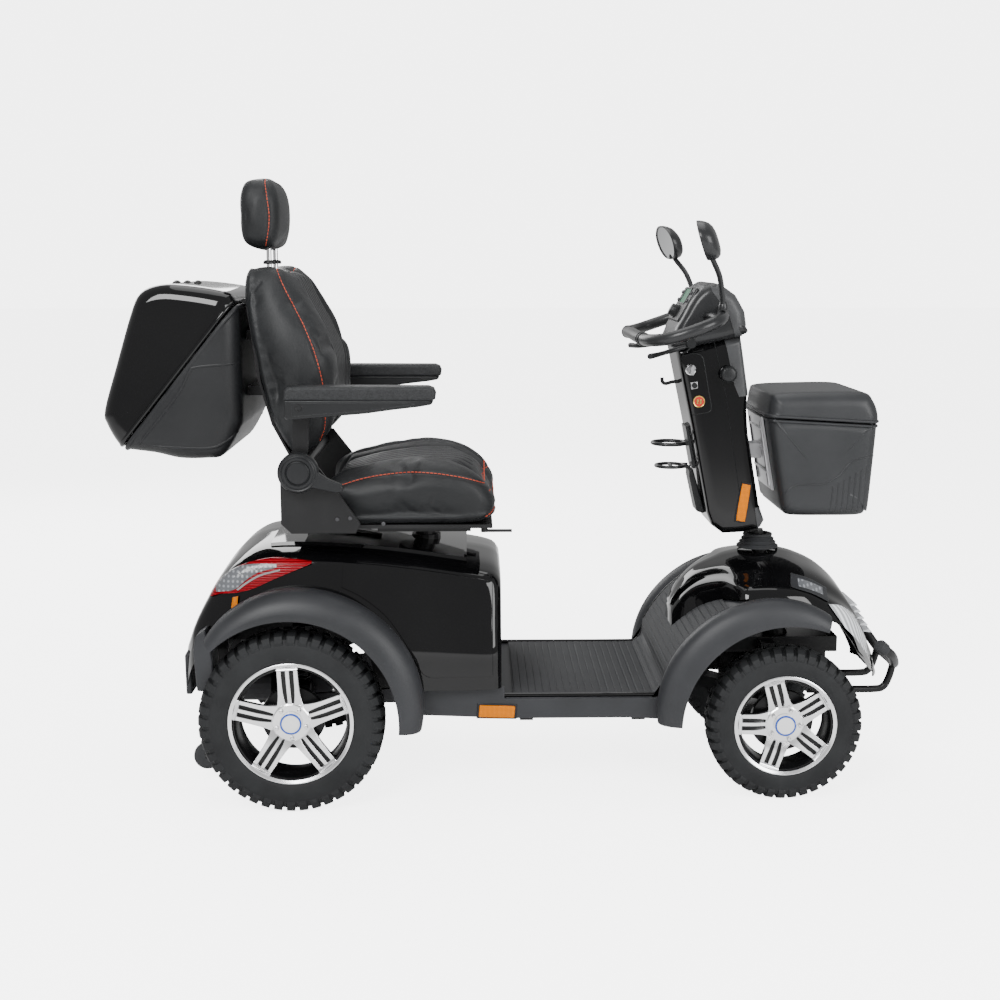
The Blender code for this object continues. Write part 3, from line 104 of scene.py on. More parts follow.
def surface(name, dark, light, rough, metal=0.0, grain=900.0, bump=0.15, depth=0.0003, cloud=6.0, coat=0.0,
        grain_kind="noise", spec=0.3):
    """A material with a slow change of colour and roughness, and a fine grain in its bump."""
    made, tree, shader = nodes_of(name)
    clouds, _ = add_noise(tree, cloud, 4)
    vary_colour(tree, shader, clouds.outputs["Fac"], dark, light)
    vary(tree, shader, "Roughness", clouds.outputs["Fac"], rough[0], rough[1])
    shader.inputs["Metallic"].default_value = metal
    shader.inputs["Coat Weight"].default_value = coat
    shader.inputs["Coat Roughness"].default_value = 0.03
    shader.inputs["Specular IOR Level"].default_value = spec
    if bump:
        if grain_kind == "cells":
            place = tree.nodes.new("ShaderNodeTexCoord")
            cells = tree.nodes.new("ShaderNodeTexVoronoi")
            cells.feature = "DISTANCE_TO_EDGE"
            cells.inputs["Scale"].default_value = grain
            tree.links.new(place.outputs["Object"], cells.inputs["Vector"])
            ramp = tree.nodes.new("ShaderNodeMapRange")
            ramp.inputs["From Max"].default_value = 0.12
            tree.links.new(cells.outputs["Distance"], ramp.inputs["Value"])
            add_bump(tree, shader, ramp.outputs["Result"], bump, depth)
        else:
            fine, _ = add_noise(tree, grain, 2)
            add_bump(tree, shader, fine.outputs["Fac"], bump, depth)
    return made


M = {
    "gloss": surface("gloss_black_plastic", (0.0020, 0.0020, 0.0023), (0.0032, 0.0032, 0.0035),
    (0.03, 0.07), grain=35, bump=0.02, depth=0.0004, coat=0.12, spec=0.32),
    "grey": surface("grained_grey_plastic", (0.017, 0.018, 0.020), (0.026, 0.027, 0.030), (0.40, 0.52),
    grain=1100, bump=0.35, depth=0.0003, spec=0.32),
    "box": surface("grained_black_plastic", (0.0075, 0.008, 0.009), (0.012, 0.0125, 0.0135), (0.36, 0.48),
    grain=1300, bump=0.35, depth=0.0003, spec=0.3),
    "arm": surface("speckled_plastic", (0.006, 0.0065, 0.007), (0.022, 0.023, 0.025), (0.42, 0.56),
    grain=1500, bump=0.9, depth=0.0005, cloud=420, spec=0.3),
    "black": surface("satin_black_plastic", (0.006, 0.0065, 0.007), (0.011, 0.0115, 0.0125), (0.32, 0.44),
    grain=800, bump=0.15, spec=0.3),
    "mat": surface("ribbed_rubber", (0.022, 0.023, 0.025), (0.034, 0.035, 0.037), (0.60, 0.75), grain=900,
    bump=0.5, depth=0.0004, spec=0.25),
    "tyre": surface("tyre_rubber", (0.0065, 0.007, 0.0078), (0.0135, 0.0145, 0.0155), (0.58, 0.78),
    grain=500, bump=0.4, depth=0.0004, cloud=14, spec=0.3),
    "leather": surface("black_leatherette", (0.0085, 0.0092, 0.0100), (0.0150, 0.0160, 0.0172),
    (0.40, 0.52), grain=420, bump=0.30, depth=0.0004, grain_kind="cells", spec=0.28),
    "steel": surface("black_painted_steel", (0.006, 0.006, 0.0065), (0.012, 0.012, 0.0125), (0.30, 0.45),
    metal=0.1, grain=300, bump=0.12, spec=0.3),
    "cast": surface("cast_metal", (0.045, 0.045, 0.048), (0.075, 0.075, 0.080), (0.45, 0.60), metal=0.7,
    grain=500, bump=0.5, depth=0.0004),
    "alloy": surface("machined_alloy", (0.84, 0.84, 0.85), (0.94, 0.94, 0.95), (0.16, 0.26), metal=1.0,
    grain=700, bump=0.10, cloud=20, spec=0.5),
    "silver": surface("silver_paint", (0.42, 0.42, 0.43), (0.52, 0.52, 0.53), (0.28, 0.38), metal=0.8,
    grain=900, bump=0.15),
    "dark": surface("black_wheel_paint", (0.003, 0.003, 0.0033), (0.006, 0.006, 0.0065), (0.22, 0.32),
    metal=0.0, grain=500, bump=0.1, spec=0.3),
    "chrome": surface("chrome_plate", (0.75, 0.75, 0.76), (0.84, 0.84, 0.85), (0.05, 0.10), metal=1.0,
    grain=200, bump=0.02),
    "white": surface("white_cap_plastic", (0.70, 0.71, 0.72), (0.80, 0.80, 0.81), (0.20, 0.30), grain=400,
    bump=0.05),
    "blue": surface("blue_cap_ring", (0.02, 0.06, 0.32), (0.03, 0.09, 0.42), (0.20, 0.30), grain=400,
    bump=0.05),
    "thread": surface("red_thread", (0.42, 0.045, 0.02), (0.60, 0.09, 0.04), (0.55, 0.70), grain=2500,
    bump=0.6, depth=0.0004, cloud=80),
    "mirror": surface("mirror_glass", (0.80, 0.81, 0.82), (0.86, 0.87, 0.88), (0.02, 0.04), metal=1.0,
    bump=0),
    "brass": surface("brass_insert", (0.50, 0.33, 0.10), (0.62, 0.43, 0.16), (0.25, 0.35), metal=1.0,
    grain=400, bump=0.1),
    "basket": surface("grained_basket_plastic", (0.017, 0.018, 0.0195), (0.025, 0.026, 0.028), (0.36, 0.48),
    grain=1300, bump=0.4, depth=0.0003, spec=0.32),
    "spine": surface("mid_grey_plastic", (0.036, 0.037, 0.039), (0.052, 0.053, 0.055), (0.36, 0.46),
    grain=1100, bump=0.3),
    "grip": surface("soft_grip_plastic", (0.011, 0.0115, 0.0125), (0.019, 0.0195, 0.0205), (0.26, 0.38),
    grain=900, bump=0.2, coat=0.1),
    "red_mark": surface("red_marker", (0.45, 0.02, 0.015), (0.62, 0.04, 0.02), (0.25, 0.35), grain=500,
    bump=0.05),
    "green": surface("green_display", (0.01, 0.10, 0.05), (0.02, 0.20, 0.09), (0.10, 0.15), bump=0),
}


def lens(name, colour, ribs, across, coat=0.15, rough=0.12, spec=0.35):
    """A moulded lens: a clear coat over colour, with rows of prisms under it, and painted shade that darkens
    the colour in the grooves between the prisms.
    """
    made, tree, shader = nodes_of(name)
    place = tree.nodes.new("ShaderNodeTexCoord")
    heights = []
    for axis in across:
        wave = tree.nodes.new("ShaderNodeTexWave")
        wave.bands_direction = axis
        wave.inputs["Scale"].default_value = ribs
        tree.links.new(place.outputs["Object"], wave.inputs["Vector"])
        heights.append(wave.outputs["Fac"])
    total = heights[0]
    if len(heights) > 1:
        mix = tree.nodes.new("ShaderNodeMath")
        mix.operation = "MULTIPLY"
        tree.links.new(heights[0], mix.inputs[0])
        tree.links.new(heights[1], mix.inputs[1])
        total = mix.outputs["Value"]
    # painted shade: the colour falls to 0.45 of itself in the prism grooves, where the bump is low, and is
    # full on the ridges
    vary_colour(tree, shader, total, tuple(c * 0.45 for c in colour), colour)
    shader.inputs["Roughness"].default_value = rough
    shader.inputs["Coat Weight"].default_value = coat
    shader.inputs["Coat Roughness"].default_value = 0.02
    shader.inputs["Specular IOR Level"].default_value = spec
    add_bump(tree, shader, total, 0.5, 0.0006)
    return made


M["red"] = lens("red_lens", (0.26, 0.0, 0.006), 60, ("Z",), coat=0.0, spec=0.12)
M["clear"] = lens("led_grid_lens", (0.24, 0.25, 0.27), 30, ("X", "Z"), rough=0.15)
M["amber"] = lens("amber_reflector", (1.0, 0.27, 0.0), 110, ("X", "Z"), coat=0.0, spec=0.08)
M["lamp"] = lens("headlamp_lens", (0.80, 0.82, 0.85), 30, ("Y",), rough=0.08)


# ------------------------------------------------------------ mesh helpers
def place(name, bm, finish, body, slot, replaces=(), smooth=35.0, bevel=0.0, segments=3, subdivide=0,
        solid=0.0):
    """Turns a bmesh into a finished piece that rides on a body."""
    bmesh.ops.recalc_face_normals(bm, faces=bm.faces)
    mesh = bpy.data.meshes.new(name)
    bm.to_mesh(mesh)
    bm.free()
    finishes = finish if isinstance(finish, (list, tuple)) else [finish]
    for each in finishes:
        mesh.materials.append(M[each])
    obj = bpy.data.objects.new(name, mesh)
    bpy.context.scene.collection.objects.link(obj)
    mesh.shade_smooth()
    if solid:
        wall = obj.modifiers.new("wall", "SOLIDIFY")
        wall.thickness = abs(solid)
        wall.offset = -1.0 if solid > 0 else 1.0
    if bevel:
        edge = obj.modifiers.new("edge", "BEVEL")
        edge.width = bevel
        edge.segments = segments
        edge.limit_method = "ANGLE"
        edge.angle_limit = math.radians(28)
    if subdivide:
        finer = obj.modifiers.new("finer", "SUBSURF")
        finer.levels = finer.render_levels = subdivide
    if smooth < 179 and not subdivide:
        mesh.set_sharp_from_angle(angle=math.radians(smooth))
    finish_piece(obj, body, replaces)
    return obj


def finish_piece(obj, body, replaces=()):
    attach(obj, body)
    if replaces:
        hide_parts(*([replaces] if isinstance(replaces, str) else replaces))


def quads(bm, rings, closed_round=True, closed_along=False):
    pairs = list(zip(rings, rings[1:])) + ([(rings[-1], rings[0])] if closed_along else [])
    for first, second in pairs:
        count = len(first)
        for i in range(count if closed_round else count - 1):
            j = (i + 1) % count
            bm.faces.new((first[i], first[j], second[j], second[i]))


def loft_mesh(loops, caps=True, closed_along=False, bm=None):
    bm = bm or bmesh.new()
    rings = [[bm.verts.new(p) for p in loop] for loop in loops]
    quads(bm, rings, True, closed_along)
    if caps and not closed_along:
        bm.faces.new(rings[0])
        bm.faces.new(list(reversed(rings[-1])))
    return bm


def prism_mesh(outline, low, high, axis="Y", bm=None):
    order = {"Y": lambda a, b, c: (a, c, b), "Z": lambda a, b, c: (a, b, c), "X": lambda a, b,
        c: (c, a, b)}[axis]
    return loft_mesh([[order(a, b, c) for a, b in outline] for c in sorted((low, high))], bm=bm)


def box_mesh(low, high, bm=None):
    return prism_mesh([(low[0], low[2]), (high[0], low[2]), (high[0], high[2]), (low[0], high[2])], low[1],
        high[1], bm=bm)


def turned_mesh(profile, centre, axis, steps=64, closed=False, bm=None):
    """Revolves (radius, along) points. The ends close on their rings unless the profile is a closed loop."""
    bm = bm or bmesh.new()
    turn = Vector((0, 0, 1)).rotation_difference(Vector(axis)).to_matrix()
    rings = []
    for radius, along in profile:
        ring = []
        for k in range(steps):
            angle = 2 * math.pi * k / steps
            ring.append(bm.verts.new(Vector(centre) + turn @ Vector((radius * math.cos(angle),
                radius * math.sin(angle), along))))
        rings.append(ring)
    quads(bm, rings, True, closed)
    if not closed:
        bm.faces.new(rings[0])
        bm.faces.new(list(reversed(rings[-1])))
    return bm


def rod_mesh(start, end, radius, steps=20, end_radius=None, bm=None):
    start, end = Vector(start), Vector(end)
    profile = [(radius, 0), (end_radius or radius, (end - start).length)]
    return turned_mesh(profile, start, (end - start).normalized(), steps, bm=bm)


def curve_through(points, per_span=6, closed=False):
    """Points on a Catmull-Rom curve, in two or three dimensions."""
    points = [Vector(p) for p in points]
    count = len(points)
    if closed:
        spans = [(points[i - 1], points[i], points[(i + 1) % count],
            points[(i + 2) % count]) for i in range(count)]
    else:
        ends = [2 * points[0] - points[1], *points, 2 * points[-1] - points[-2]]
        spans = list(zip(ends, ends[1:], ends[2:], ends[3:]))
    path = []
    for a, b, c, d in spans:
        for k in range(per_span):
            t = k / per_span
            path.append(0.5 * (2 * b + (c - a) * t + (2 * a - 5 * b + 4 * c - d) * t * t
                               + (3 * b - a - 3 * c + d) * t ** 3))
    if not closed:
        path.append(points[-1])
    return path


def tube_mesh(path, radius, steps=12, closed=False, bm=None):
    bm = bm or bmesh.new()
    path = [Vector(p) for p in path]
    count = len(path)
    rings, side = [], None
    for i, point in enumerate(path):
        ahead = path[(i + 1) % count] if closed else path[min(i + 1, count - 1)]
        behind = path[i - 1] if closed else path[max(i - 1, 0)]
        along = (ahead - behind).normalized()
        if side is None:
            side = along.cross(Vector((0, 0, 1)))
            side = side.normalized() if side.length > 0.1 else Vector((1, 0, 0))
        side = (side - along * side.dot(along)).normalized()
        other = along.cross(side)
        size = radius(i / max(1, count - 1)) if callable(radius) else radius
        rings.append([
            bm.verts.new(point + size * (math.cos(2 * math.pi * k / steps) * side
                                         + math.sin(2 * math.pi * k / steps) * other))
            for k in range(steps)])
    quads(bm, rings, True, closed)
    if not closed:
        bm.faces.new(list(reversed(rings[0])))
        bm.faces.new(rings[-1])
    return bm


def arc(centre, radius, start, end, count):
    return [(centre[0] + radius * math.cos(math.radians(start + (end - start) * k / (count - 1))),
             centre[1] + radius * math.sin(math.radians(start + (end - start) * k / (count - 1))))
            for k in range(count)]


def apply_modifiers(obj):
    bpy.context.view_layer.update()
    done = bpy.data.meshes.new_from_object(obj.evaluated_get(bpy.context.evaluated_depsgraph_get()))
    obj.modifiers.clear()
    obj.data = done


def carve(obj, cutters, operation="DIFFERENCE", solver="EXACT"):
    """Cuts with bmeshes, or keeps what they share, and leaves no helper in the scene."""
    for bm in cutters:
        bmesh.ops.recalc_face_normals(bm, faces=bm.faces)
        mesh = bpy.data.meshes.new("cutter")
        bm.to_mesh(mesh)
        bm.free()
        helper = bpy.data.objects.new("cutter", mesh)
        bpy.context.scene.collection.objects.link(helper)
        change = obj.modifiers.new("cut", "BOOLEAN")
        change.operation = operation
        change.solver = solver
        change.object = helper
        apply_modifiers(obj)
        bpy.data.objects.remove(helper, do_unlink=True)


# ------------------------------------------------------------ wheels
def tyre_mesh(centre, radius, width, bead, side, lugs):
    half = width / 2
    wall = radius - bead
    crown = radius - 0.0060
    profile = [
        (bead - 0.001, -half + 0.012), (bead + 0.010, -half + 0.0035), (bead + 0.016, -half + 0.0010),
        (bead + 0.35 * wall, -half),
        (bead + 0.60 * wall, -half + 0.0005), (bead + 0.63 * wall, -half + 0.0015),
        (bead + 0.80 * wall, -half + 0.006),
        (crown - 0.003, -half + 0.016), (crown, -half + 0.028), (crown, half - 0.028),
        (crown - 0.003, half - 0.016),
        (bead + 0.80 * wall, half - 0.006), (bead + 0.63 * wall, half - 0.0015),
        (bead + 0.60 * wall, half - 0.0005),
        (bead + 0.35 * wall, half), (bead + 0.016, half - 0.0010), (bead + 0.010, half - 0.0035),
        (bead - 0.001, half - 0.012),
    ]
    bm = turned_mesh(profile, centre, (0, side, 0), 96, closed=True)
    step = 2 * math.pi / lugs
    for k in range(lugs):
        for edge in (-1, 1):
            shift = 0.25 * step * edge
            path = [(radius - 0.0002, 0.36 * half), (radius - 0.0010, 0.62 * half),
                (radius - 0.0070, 0.86 * half), (radius - 0.0200, half - 0.0002)]
            under = [(r - 0.0080, y * 0.96) for r, y in path]
            loops = []
            for (r_out, y_out), (r_in, y_in) in zip(path, under):
                wide = 0.31 * step
                skew = shift + 0.10 * step * (y_out / half)
                loop = []
                for r, y, sign in ((r_out, y_out, -1), (r_out, y_out, 1), (r_in, y_in, 1.15),
                        (r_in, y_in, -1.15)):
                    angle = k * step + skew + sign * wide
                    loop.append((centre[0] + r * math.cos(angle), centre[1] + edge * y,
                        centre[2] + r * math.sin(angle)))
                loops.append(loop)
            loft_mesh(loops, bm=bm)
        for row in (-1, 1):
            angle0 = k * step + 0.25 * step * row
            loops = []
            for y, wide in ((0.02 * half, 0.30), (0.30 * half, 0.22)):
                loop = []
                for r, sign in ((radius - 0.0002, -1), (radius - 0.0002, 1), (crown - 0.002, 1.1),
                        (crown - 0.002, -1.1)):
                    angle = angle0 + sign * wide * step
                    loop.append((centre[0] + r * math.cos(angle), centre[1] + row * y,
                        centre[2] + r * math.sin(angle)))
                loops.append(loop)
            loft_mesh(loops, bm=bm)
    return bm


def spoke_mesh(bm, centre, side, angle, start, end, offset0, offset1, wide0, wide1, depth0, depth1, thick):
    """One flat bar of a spoke, from the hub to the barrel."""
    turn = Matrix.Rotation(angle, 3, "Y")
    loops = []
    for t in (0.0, 0.08, 0.18, 0.32, 0.5, 0.85, 1.0):
        r = start + (end - start) * t
        flare = (1 - t) ** 4
        off = offset1 + (offset0 - offset1) * flare
        wide = (wide1 + (wide0 - wide1) * flare) / 2
        face = depth0 + (depth1 - depth0) * t + 0.004 * math.sin(math.pi * t)
        loop = []
        for a, d in ((off - wide, face - thick), (off - wide, face - 0.0008), (off - wide + 0.0008, face),
            (off + wide - 0.0008, face),
                     (off + wide, face - 0.0008), (off + wide, face - thick)):
            loop.append(Vector(centre) + turn @ Vector((r, 0, a)) + Vector((0, side * d, 0)))
        loops.append(loop)
    loft_mesh(loops, bm=bm)


def make_wheel(kind, label, side, axle, y, radius, width, bead, lugs, turn_deg):
    centre = (axle[0], side * y, axle[1])
    half = width / 2
    body = f"{kind}_wheel_{label}"
    place(f"{kind}_tyre_tread_{label}", tyre_mesh(centre, radius, width, bead, side, lugs), "tyre", body,
        "tyre_rubber", f"{kind}_tyre_{label}", smooth=32)
    flange = bead + 0.0080
    face = half - 0.0030
    lip = [
        (bead - 0.0020, face - 0.014), (bead - 0.0020, face - 0.006), (bead + 0.0002, face - 0.0020),
        (flange - 0.002, face + 0.0008),
        (flange, face), (flange, face - 0.0030), (bead, face - 0.0075), (bead - 0.001, face - 0.014),
    ]
    bright = turned_mesh(lip, centre, (0, side, 0), 96, closed=True)
    reach = bead - 0.0018
    for k in range(5):
        angle = math.radians(turn_deg + 72 * k) * -1
        for at in (-1, 1):
            spoke_mesh(bright, centre, side, angle, 0.034, reach, at * 0.0190, at * 0.0182, 0.0230, 0.0092,
                face - 0.0135, face - 0.004, 0.008)
        spoke_mesh(bright, centre, side, angle, 0.034, reach, 0, 0, 0.0085, 0.0085, face - 0.0135,
            face - 0.004, 0.008)
        spoke_mesh(bright, centre, side, angle, reach - 0.009, reach, 0, 0, 0.046, 0.046, face - 0.0050,
            face - 0.0042, 0.009)
    hub = [(0.006, face - 0.040), (0.038, face - 0.038), (0.0445, face - 0.018), (0.0435, face - 0.0130),
        (0.0400, face - 0.0105), (0.006, face - 0.0100)]
    turned_mesh(hub, centre, (0, side, 0), 56, bm=bright)
    place(f"{kind}_rim_face_{label}", bright, "alloy", body, "alloy", f"{kind}_rim_{label}", smooth=30)
    barrel = [
        (bead - 0.0022, face - 0.004), (bead - 0.0035, -half + 0.006), (bead + 0.006, -half + 0.003),
        (bead + 0.006, -half + 0.0015),
        (bead - 0.009, -half + 0.0020), (bead - 0.011, -half + 0.012), (bead - 0.0085, face - 0.012),
        (bead - 0.0045, face - 0.0045),
    ]
    inner = turned_mesh(barrel, centre, (0, side, 0), 72, closed=True)
    drum = [(0.012, -half + 0.018), (0.070, -half + 0.020), (0.072, -half + 0.026), (0.070, -half + 0.036),
        (0.034, face - 0.034), (0.012, face - 0.034)]
    turned_mesh(drum, centre, (0, side, 0), 56, bm=inner)
    for k in range(5):
        angle = math.radians(turn_deg + 72 * k) * -1
        spoke_mesh(inner, centre, side, angle, 0.030, bead - 0.010, 0, 0, 0.060, 0.0440, face - 0.0215,
            face - 0.0130, 0.007)
    place(f"{kind}_rim_barrel_{label}", inner, "dark", body, "alloy", smooth=30)
    cap = [(0.0250, face - 0.014), (0.0250, face - 0.0035), (0.0238, face - 0.0018),
        (0.0150, face - 0.0002), (0.0004, face + 0.0004)]
    place(f"{kind}_hub_cap_{label}", turned_mesh(cap, centre, (0, side, 0), 48), "white", body, "alloy",
        smooth=40)
    ring = [(0.0196, face - 0.0020), (0.0200, face + 0.0000), (0.0232, face - 0.0006),
        (0.0244, face - 0.0030)]
    place(f"{kind}_hub_ring_{label}", turned_mesh(ring, centre, (0, side, 0), 48, closed=True), "blue",
        body, "alloy", smooth=40)
    nuts = bmesh.new()
    for k in range(5):
        angle = math.radians(turn_deg + 36 + 72 * k)
        at = (centre[0] + 0.0338 * math.cos(angle), centre[1] + side * (face - 0.0105),
            centre[2] + 0.0338 * math.sin(angle))
        turned_mesh([(0.0058, 0), (0.0058, 0.0010), (0.0046, 0.0012), (0.0046, 0.0058), (0.0036, 0.0068),
            (0.001, 0.0069)], at, (0, side, 0), 6, bm=nuts)
    place(f"{kind}_wheel_nuts_{label}", nuts, "chrome", body, "alloy", smooth=20)


for label, side in SIDES:
    make_wheel("rear", label, side, REAR_AXLE, 0.285, 0.205, 0.085, 0.1292, 44, 93)
    make_wheel("front", label, side, FRONT_AXLE, 0.232, 0.175, 0.080, 0.1072, 40, 106)
    tip = (-0.725, side * 0.125, 0.066)
    roller = [(0.006, -0.0105), (0.020, -0.0110), (0.026, -0.0105), (0.0310, -0.0070), (0.0320, 0.0),
        (0.0310, 0.0070), (0.026, 0.0105), (0.020, 0.0110), (0.006, 0.0105)]
    place("anti_tip_tyre_" + label, turned_mesh(roller, tip, (0, side, 0), 40), "mat",
        "anti_tip_roller_" + label, "mat_rubber", "anti_tip_wheel_" + label, smooth=50)


# ------------------------------------------------------------ body covers
REAR_STATIONS = [
    (-0.748, 0.215, 0.205, 0.352, 0.360), (-0.728, 0.250, 0.235, 0.402, 0.412),
    (-0.700, 0.264, 0.240, 0.456, 0.468),
    (-0.668, 0.270, 0.238, 0.506, 0.518), (-0.630, 0.272, 0.236, 0.543, 0.556),
    (-0.580, 0.273, 0.234, 0.562, 0.577),
    (-0.480, 0.273, 0.232, 0.566, 0.582), (-0.300, 0.272, 0.228, 0.555, 0.570),
    (-0.120, 0.268, 0.222, 0.528, 0.544),
    (-0.070, 0.264, 0.218, 0.518, 0.534), (-0.052, 0.257, 0.212, 0.510, 0.524),
    (-0.043, 0.246, 0.202, 0.498, 0.510),
]
FRONT_STATIONS = [
    (0.362, 0.070, 0.050, 0.392, 0.402), (0.385, 0.094, 0.066, 0.430, 0.446),
    (0.420, 0.118, 0.084, 0.462, 0.484),
    (0.470, 0.176, 0.140, 0.484, 0.509), (0.500, 0.249, 0.205, 0.482, 0.521),
    (0.560, 0.252, 0.212, 0.484, 0.531),
    (0.620, 0.250, 0.212, 0.480, 0.531), (0.665, 0.240, 0.204, 0.467, 0.518),
    (0.710, 0.222, 0.188, 0.446, 0.494),
    (0.755, 0.196, 0.165, 0.414, 0.452), (0.795, 0.160, 0.132, 0.368, 0.390),
    (0.830, 0.110, 0.088, 0.302, 0.314),
    (0.845, 0.078, 0.060, 0.258, 0.262),
]


def section(values, floor_z, grow=0.0, fine=5):
    """Half of a cover's cross-section as smooth (y, z) points, from its lower edge to its ridge."""
    _, bottom, top, shoulder, crown = values
    r = min(0.034, 0.32 * (shoulder - floor_z))
    lean = bottom - top
    points = [
        (bottom, floor_z), (bottom, floor_z + 0.18 * (shoulder - floor_z)),
        (bottom - 0.02 * lean, floor_z + 0.36 * (shoulder - floor_z)),
        (top + 0.45 * lean, floor_z + 0.64 * (shoulder - floor_z)), (top + 0.10 * lean, shoulder - r),
        (top - 0.32 * r, shoulder - 0.28 * r), (top - 1.25 * r, shoulder + 0.10 * (crown - shoulder)),
        (0.55 * top, shoulder + 0.62 * (crown - shoulder)), (0.0, crown),
    ]
    path = curve_through(points, fine)
    moved = []
    for i, p in enumerate(path):
        along = (path[min(i + 1, len(path) - 1)] - path[max(i - 1, 0)]).normalized()
        moved.append(Vector((p.x + along.y * grow, p.y - along.x * grow)))
    return moved


def stations_between(table, count):
    path = curve_through(table, 6)
    xs = [p[0] for p in path]
    low, high = table[0][0], table[-1][0]
    made = []
    for k in range(count):
        x = low + (high - low) * k / (count - 1)
        i = max(j for j in range(len(xs)) if xs[j] <= x + 1e-9)
        j = min(i + 1, len(xs) - 1)
        t = 0 if i == j else (x - xs[i]) / (xs[j] - xs[i])
        made.append([a + (b - a) * t for a, b in zip(path[i], path[j])])
    return made


def values_at(table, x):
    for first, second in zip(table, table[1:]):
        if x <= second[0] or second is table[-1]:
            t = max(0.0, min(1.0, (x - first[0]) / (second[0] - first[0])))
            return [a + (b - a) * t for a, b in zip(first, second)]


def cover_mesh(table, floor_z, count):
    """An open-bottomed shell with closed ends, as one surface that Solidify thickens inwards."""
    bm = bmesh.new()
    rings = []
    for values in stations_between(table, count):
        half = section(values, floor_z)
        loop = [(values[0], -p.x, p.y) for p in half] + [(values[0], p.x, p.y) for p in reversed(half[:-1])]
        rings.append([bm.verts.new(p) for p in loop])
    quads(bm, rings, closed_round=False)
    for ring in (rings[0], rings[-1]):
        count_half = len(ring) // 2
        left, right = ring[:count_half + 1], list(reversed(ring[count_half:]))
        for a, b, c, d in zip(left, left[1:], right[1:], right):
            if b is c:
                bm.faces.new((a, b, d))
            else:
                bm.faces.new((a, b, c, d))
    return bm


def surface_y(table, floor_z, x, z, grow):
    """Half width of a cover's outside at x and z."""
    half = section(values_at(STATION_CACHE[id(table)], x), floor_z, grow)
    for p, q in zip(half, half[1:]):
        if p.y <= z <= q.y and q.y > p.y:
            return p.x + (q.x - p.x) * (z - p.y) / (q.y - p.y)
    return half[0].x if z < half[0].y else 0.0


STATION_CACHE = {id(REAR_STATIONS): stations_between(REAR_STATIONS, 90),
    id(FRONT_STATIONS): stations_between(FRONT_STATIONS, 70)}


def patch_mesh(table, floor_z, side, low_edge, high_edge, across, up, grow, thick):
    """A panel that follows a cover: rows between a lower and an upper edge, each a line of (x, z)."""
    low, high = curve_through(low_edge, 10), curve_through(high_edge, 10)

    def along(path, t):
        at = t * (len(path) - 1)
        i = min(int(at), len(path) - 2)
        return path[i] + (path[i + 1] - path[i]) * (at - i)

    outer, inner = [], []
    for k in range(across + 1):
        a, b = along(low, k / across), along(high, k / across)
        row_out, row_in = [], []
        for m in range(up + 1):
            p = a + (b - a) * m / up
            y = surface_y(table, floor_z, p.x, p.y, 0.0)
            row_out.append((p.x, side * (y + grow), p.y))
            row_in.append((p.x, side * (y + grow - thick), p.y))
        outer.append(row_out)
        inner.append(row_in)
    loops = [out + list(reversed(ins)) for out, ins in zip(outer, inner)]
    return loft_mesh(loops)


def make_rear_body():
    cover = place("rear_cover", cover_mesh(REAR_STATIONS, 0.262, 90), "gloss", "chassis", "gloss_black",
        "rear_shroud", smooth=50, solid=0.0035)
    cutters = [rod_mesh((REAR_AXLE[0], side * 0.150, REAR_AXLE[1]),
        (REAR_AXLE[0], side * 0.40, REAR_AXLE[1]), 0.250, 72) for _, side in SIDES]
    cutters.append(rod_mesh((-0.215, 0, 0.50), (-0.215, 0, 0.62), 0.045, 48))
    carve(cover, cutters)
    cover.data.shade_smooth()
    cover.data.set_sharp_from_angle(angle=math.radians(50))
    for label, side in SIDES:
        low = [(-0.396, 0.492), (-0.352, 0.470), (-0.300, 0.430), (-0.258, 0.375), (-0.228, 0.318),
            (-0.205, 0.294), (-0.150, 0.293), (-0.062, 0.293)]
        high = [(-0.392, 0.546), (-0.330, 0.541), (-0.270, 0.534), (-0.200, 0.524), (-0.140, 0.514),
            (-0.090, 0.505), (-0.062, 0.498)]
        door = patch_mesh(REAR_STATIONS, 0.262, side, low, high, 40, 20, 0.0024, 0.0055)
        place("battery_door_panel_" + label, door, "gloss", "chassis", "gloss_black",
            "battery_door_" + label, smooth=40, bevel=0.0012, segments=2)
        make_tail_light(label, side)
    deck = bmesh.new()
    for y0, y1 in ((-0.165, 0.165),):
        loops = []
        for k in range(25):
            x = -0.560 + 0.440 * k / 24
            z = values_at(STATION_CACHE[id(REAR_STATIONS)], x)[4]
            loops.append([(x, y0, z - 0.010), (x, y0 + 0.003, z - 0.0025), (x, 0, z + 0.0022),
                (x, y1 - 0.003, z - 0.0025), (x, y1, z - 0.010)])
        loft_mesh(loops, bm=deck)
    place("rear_deck_panel", deck, "gloss", "chassis", "gloss_black", smooth=40)
    valance = bmesh.new()
    for side in (-1, 1):
        outline = [(-0.712, 0.272), (-0.718, 0.360), (-0.712, 0.395), (-0.690, 0.412), (-0.676, 0.340),
            (-0.672, 0.285), (-0.684, 0.270)]
        prism_mesh(outline, side * 0.216, side * 0.296, bm=valance)
    prism_mesh([(-0.752, 0.240), (-0.753, 0.330), (-0.744, 0.345), (-0.738, 0.340), (-0.738, 0.240)],
        -0.214, 0.214, bm=valance)
    place("rear_valance", valance, "grey", "chassis", "grey_plastic", smooth=30, bevel=0.006, segments=3)


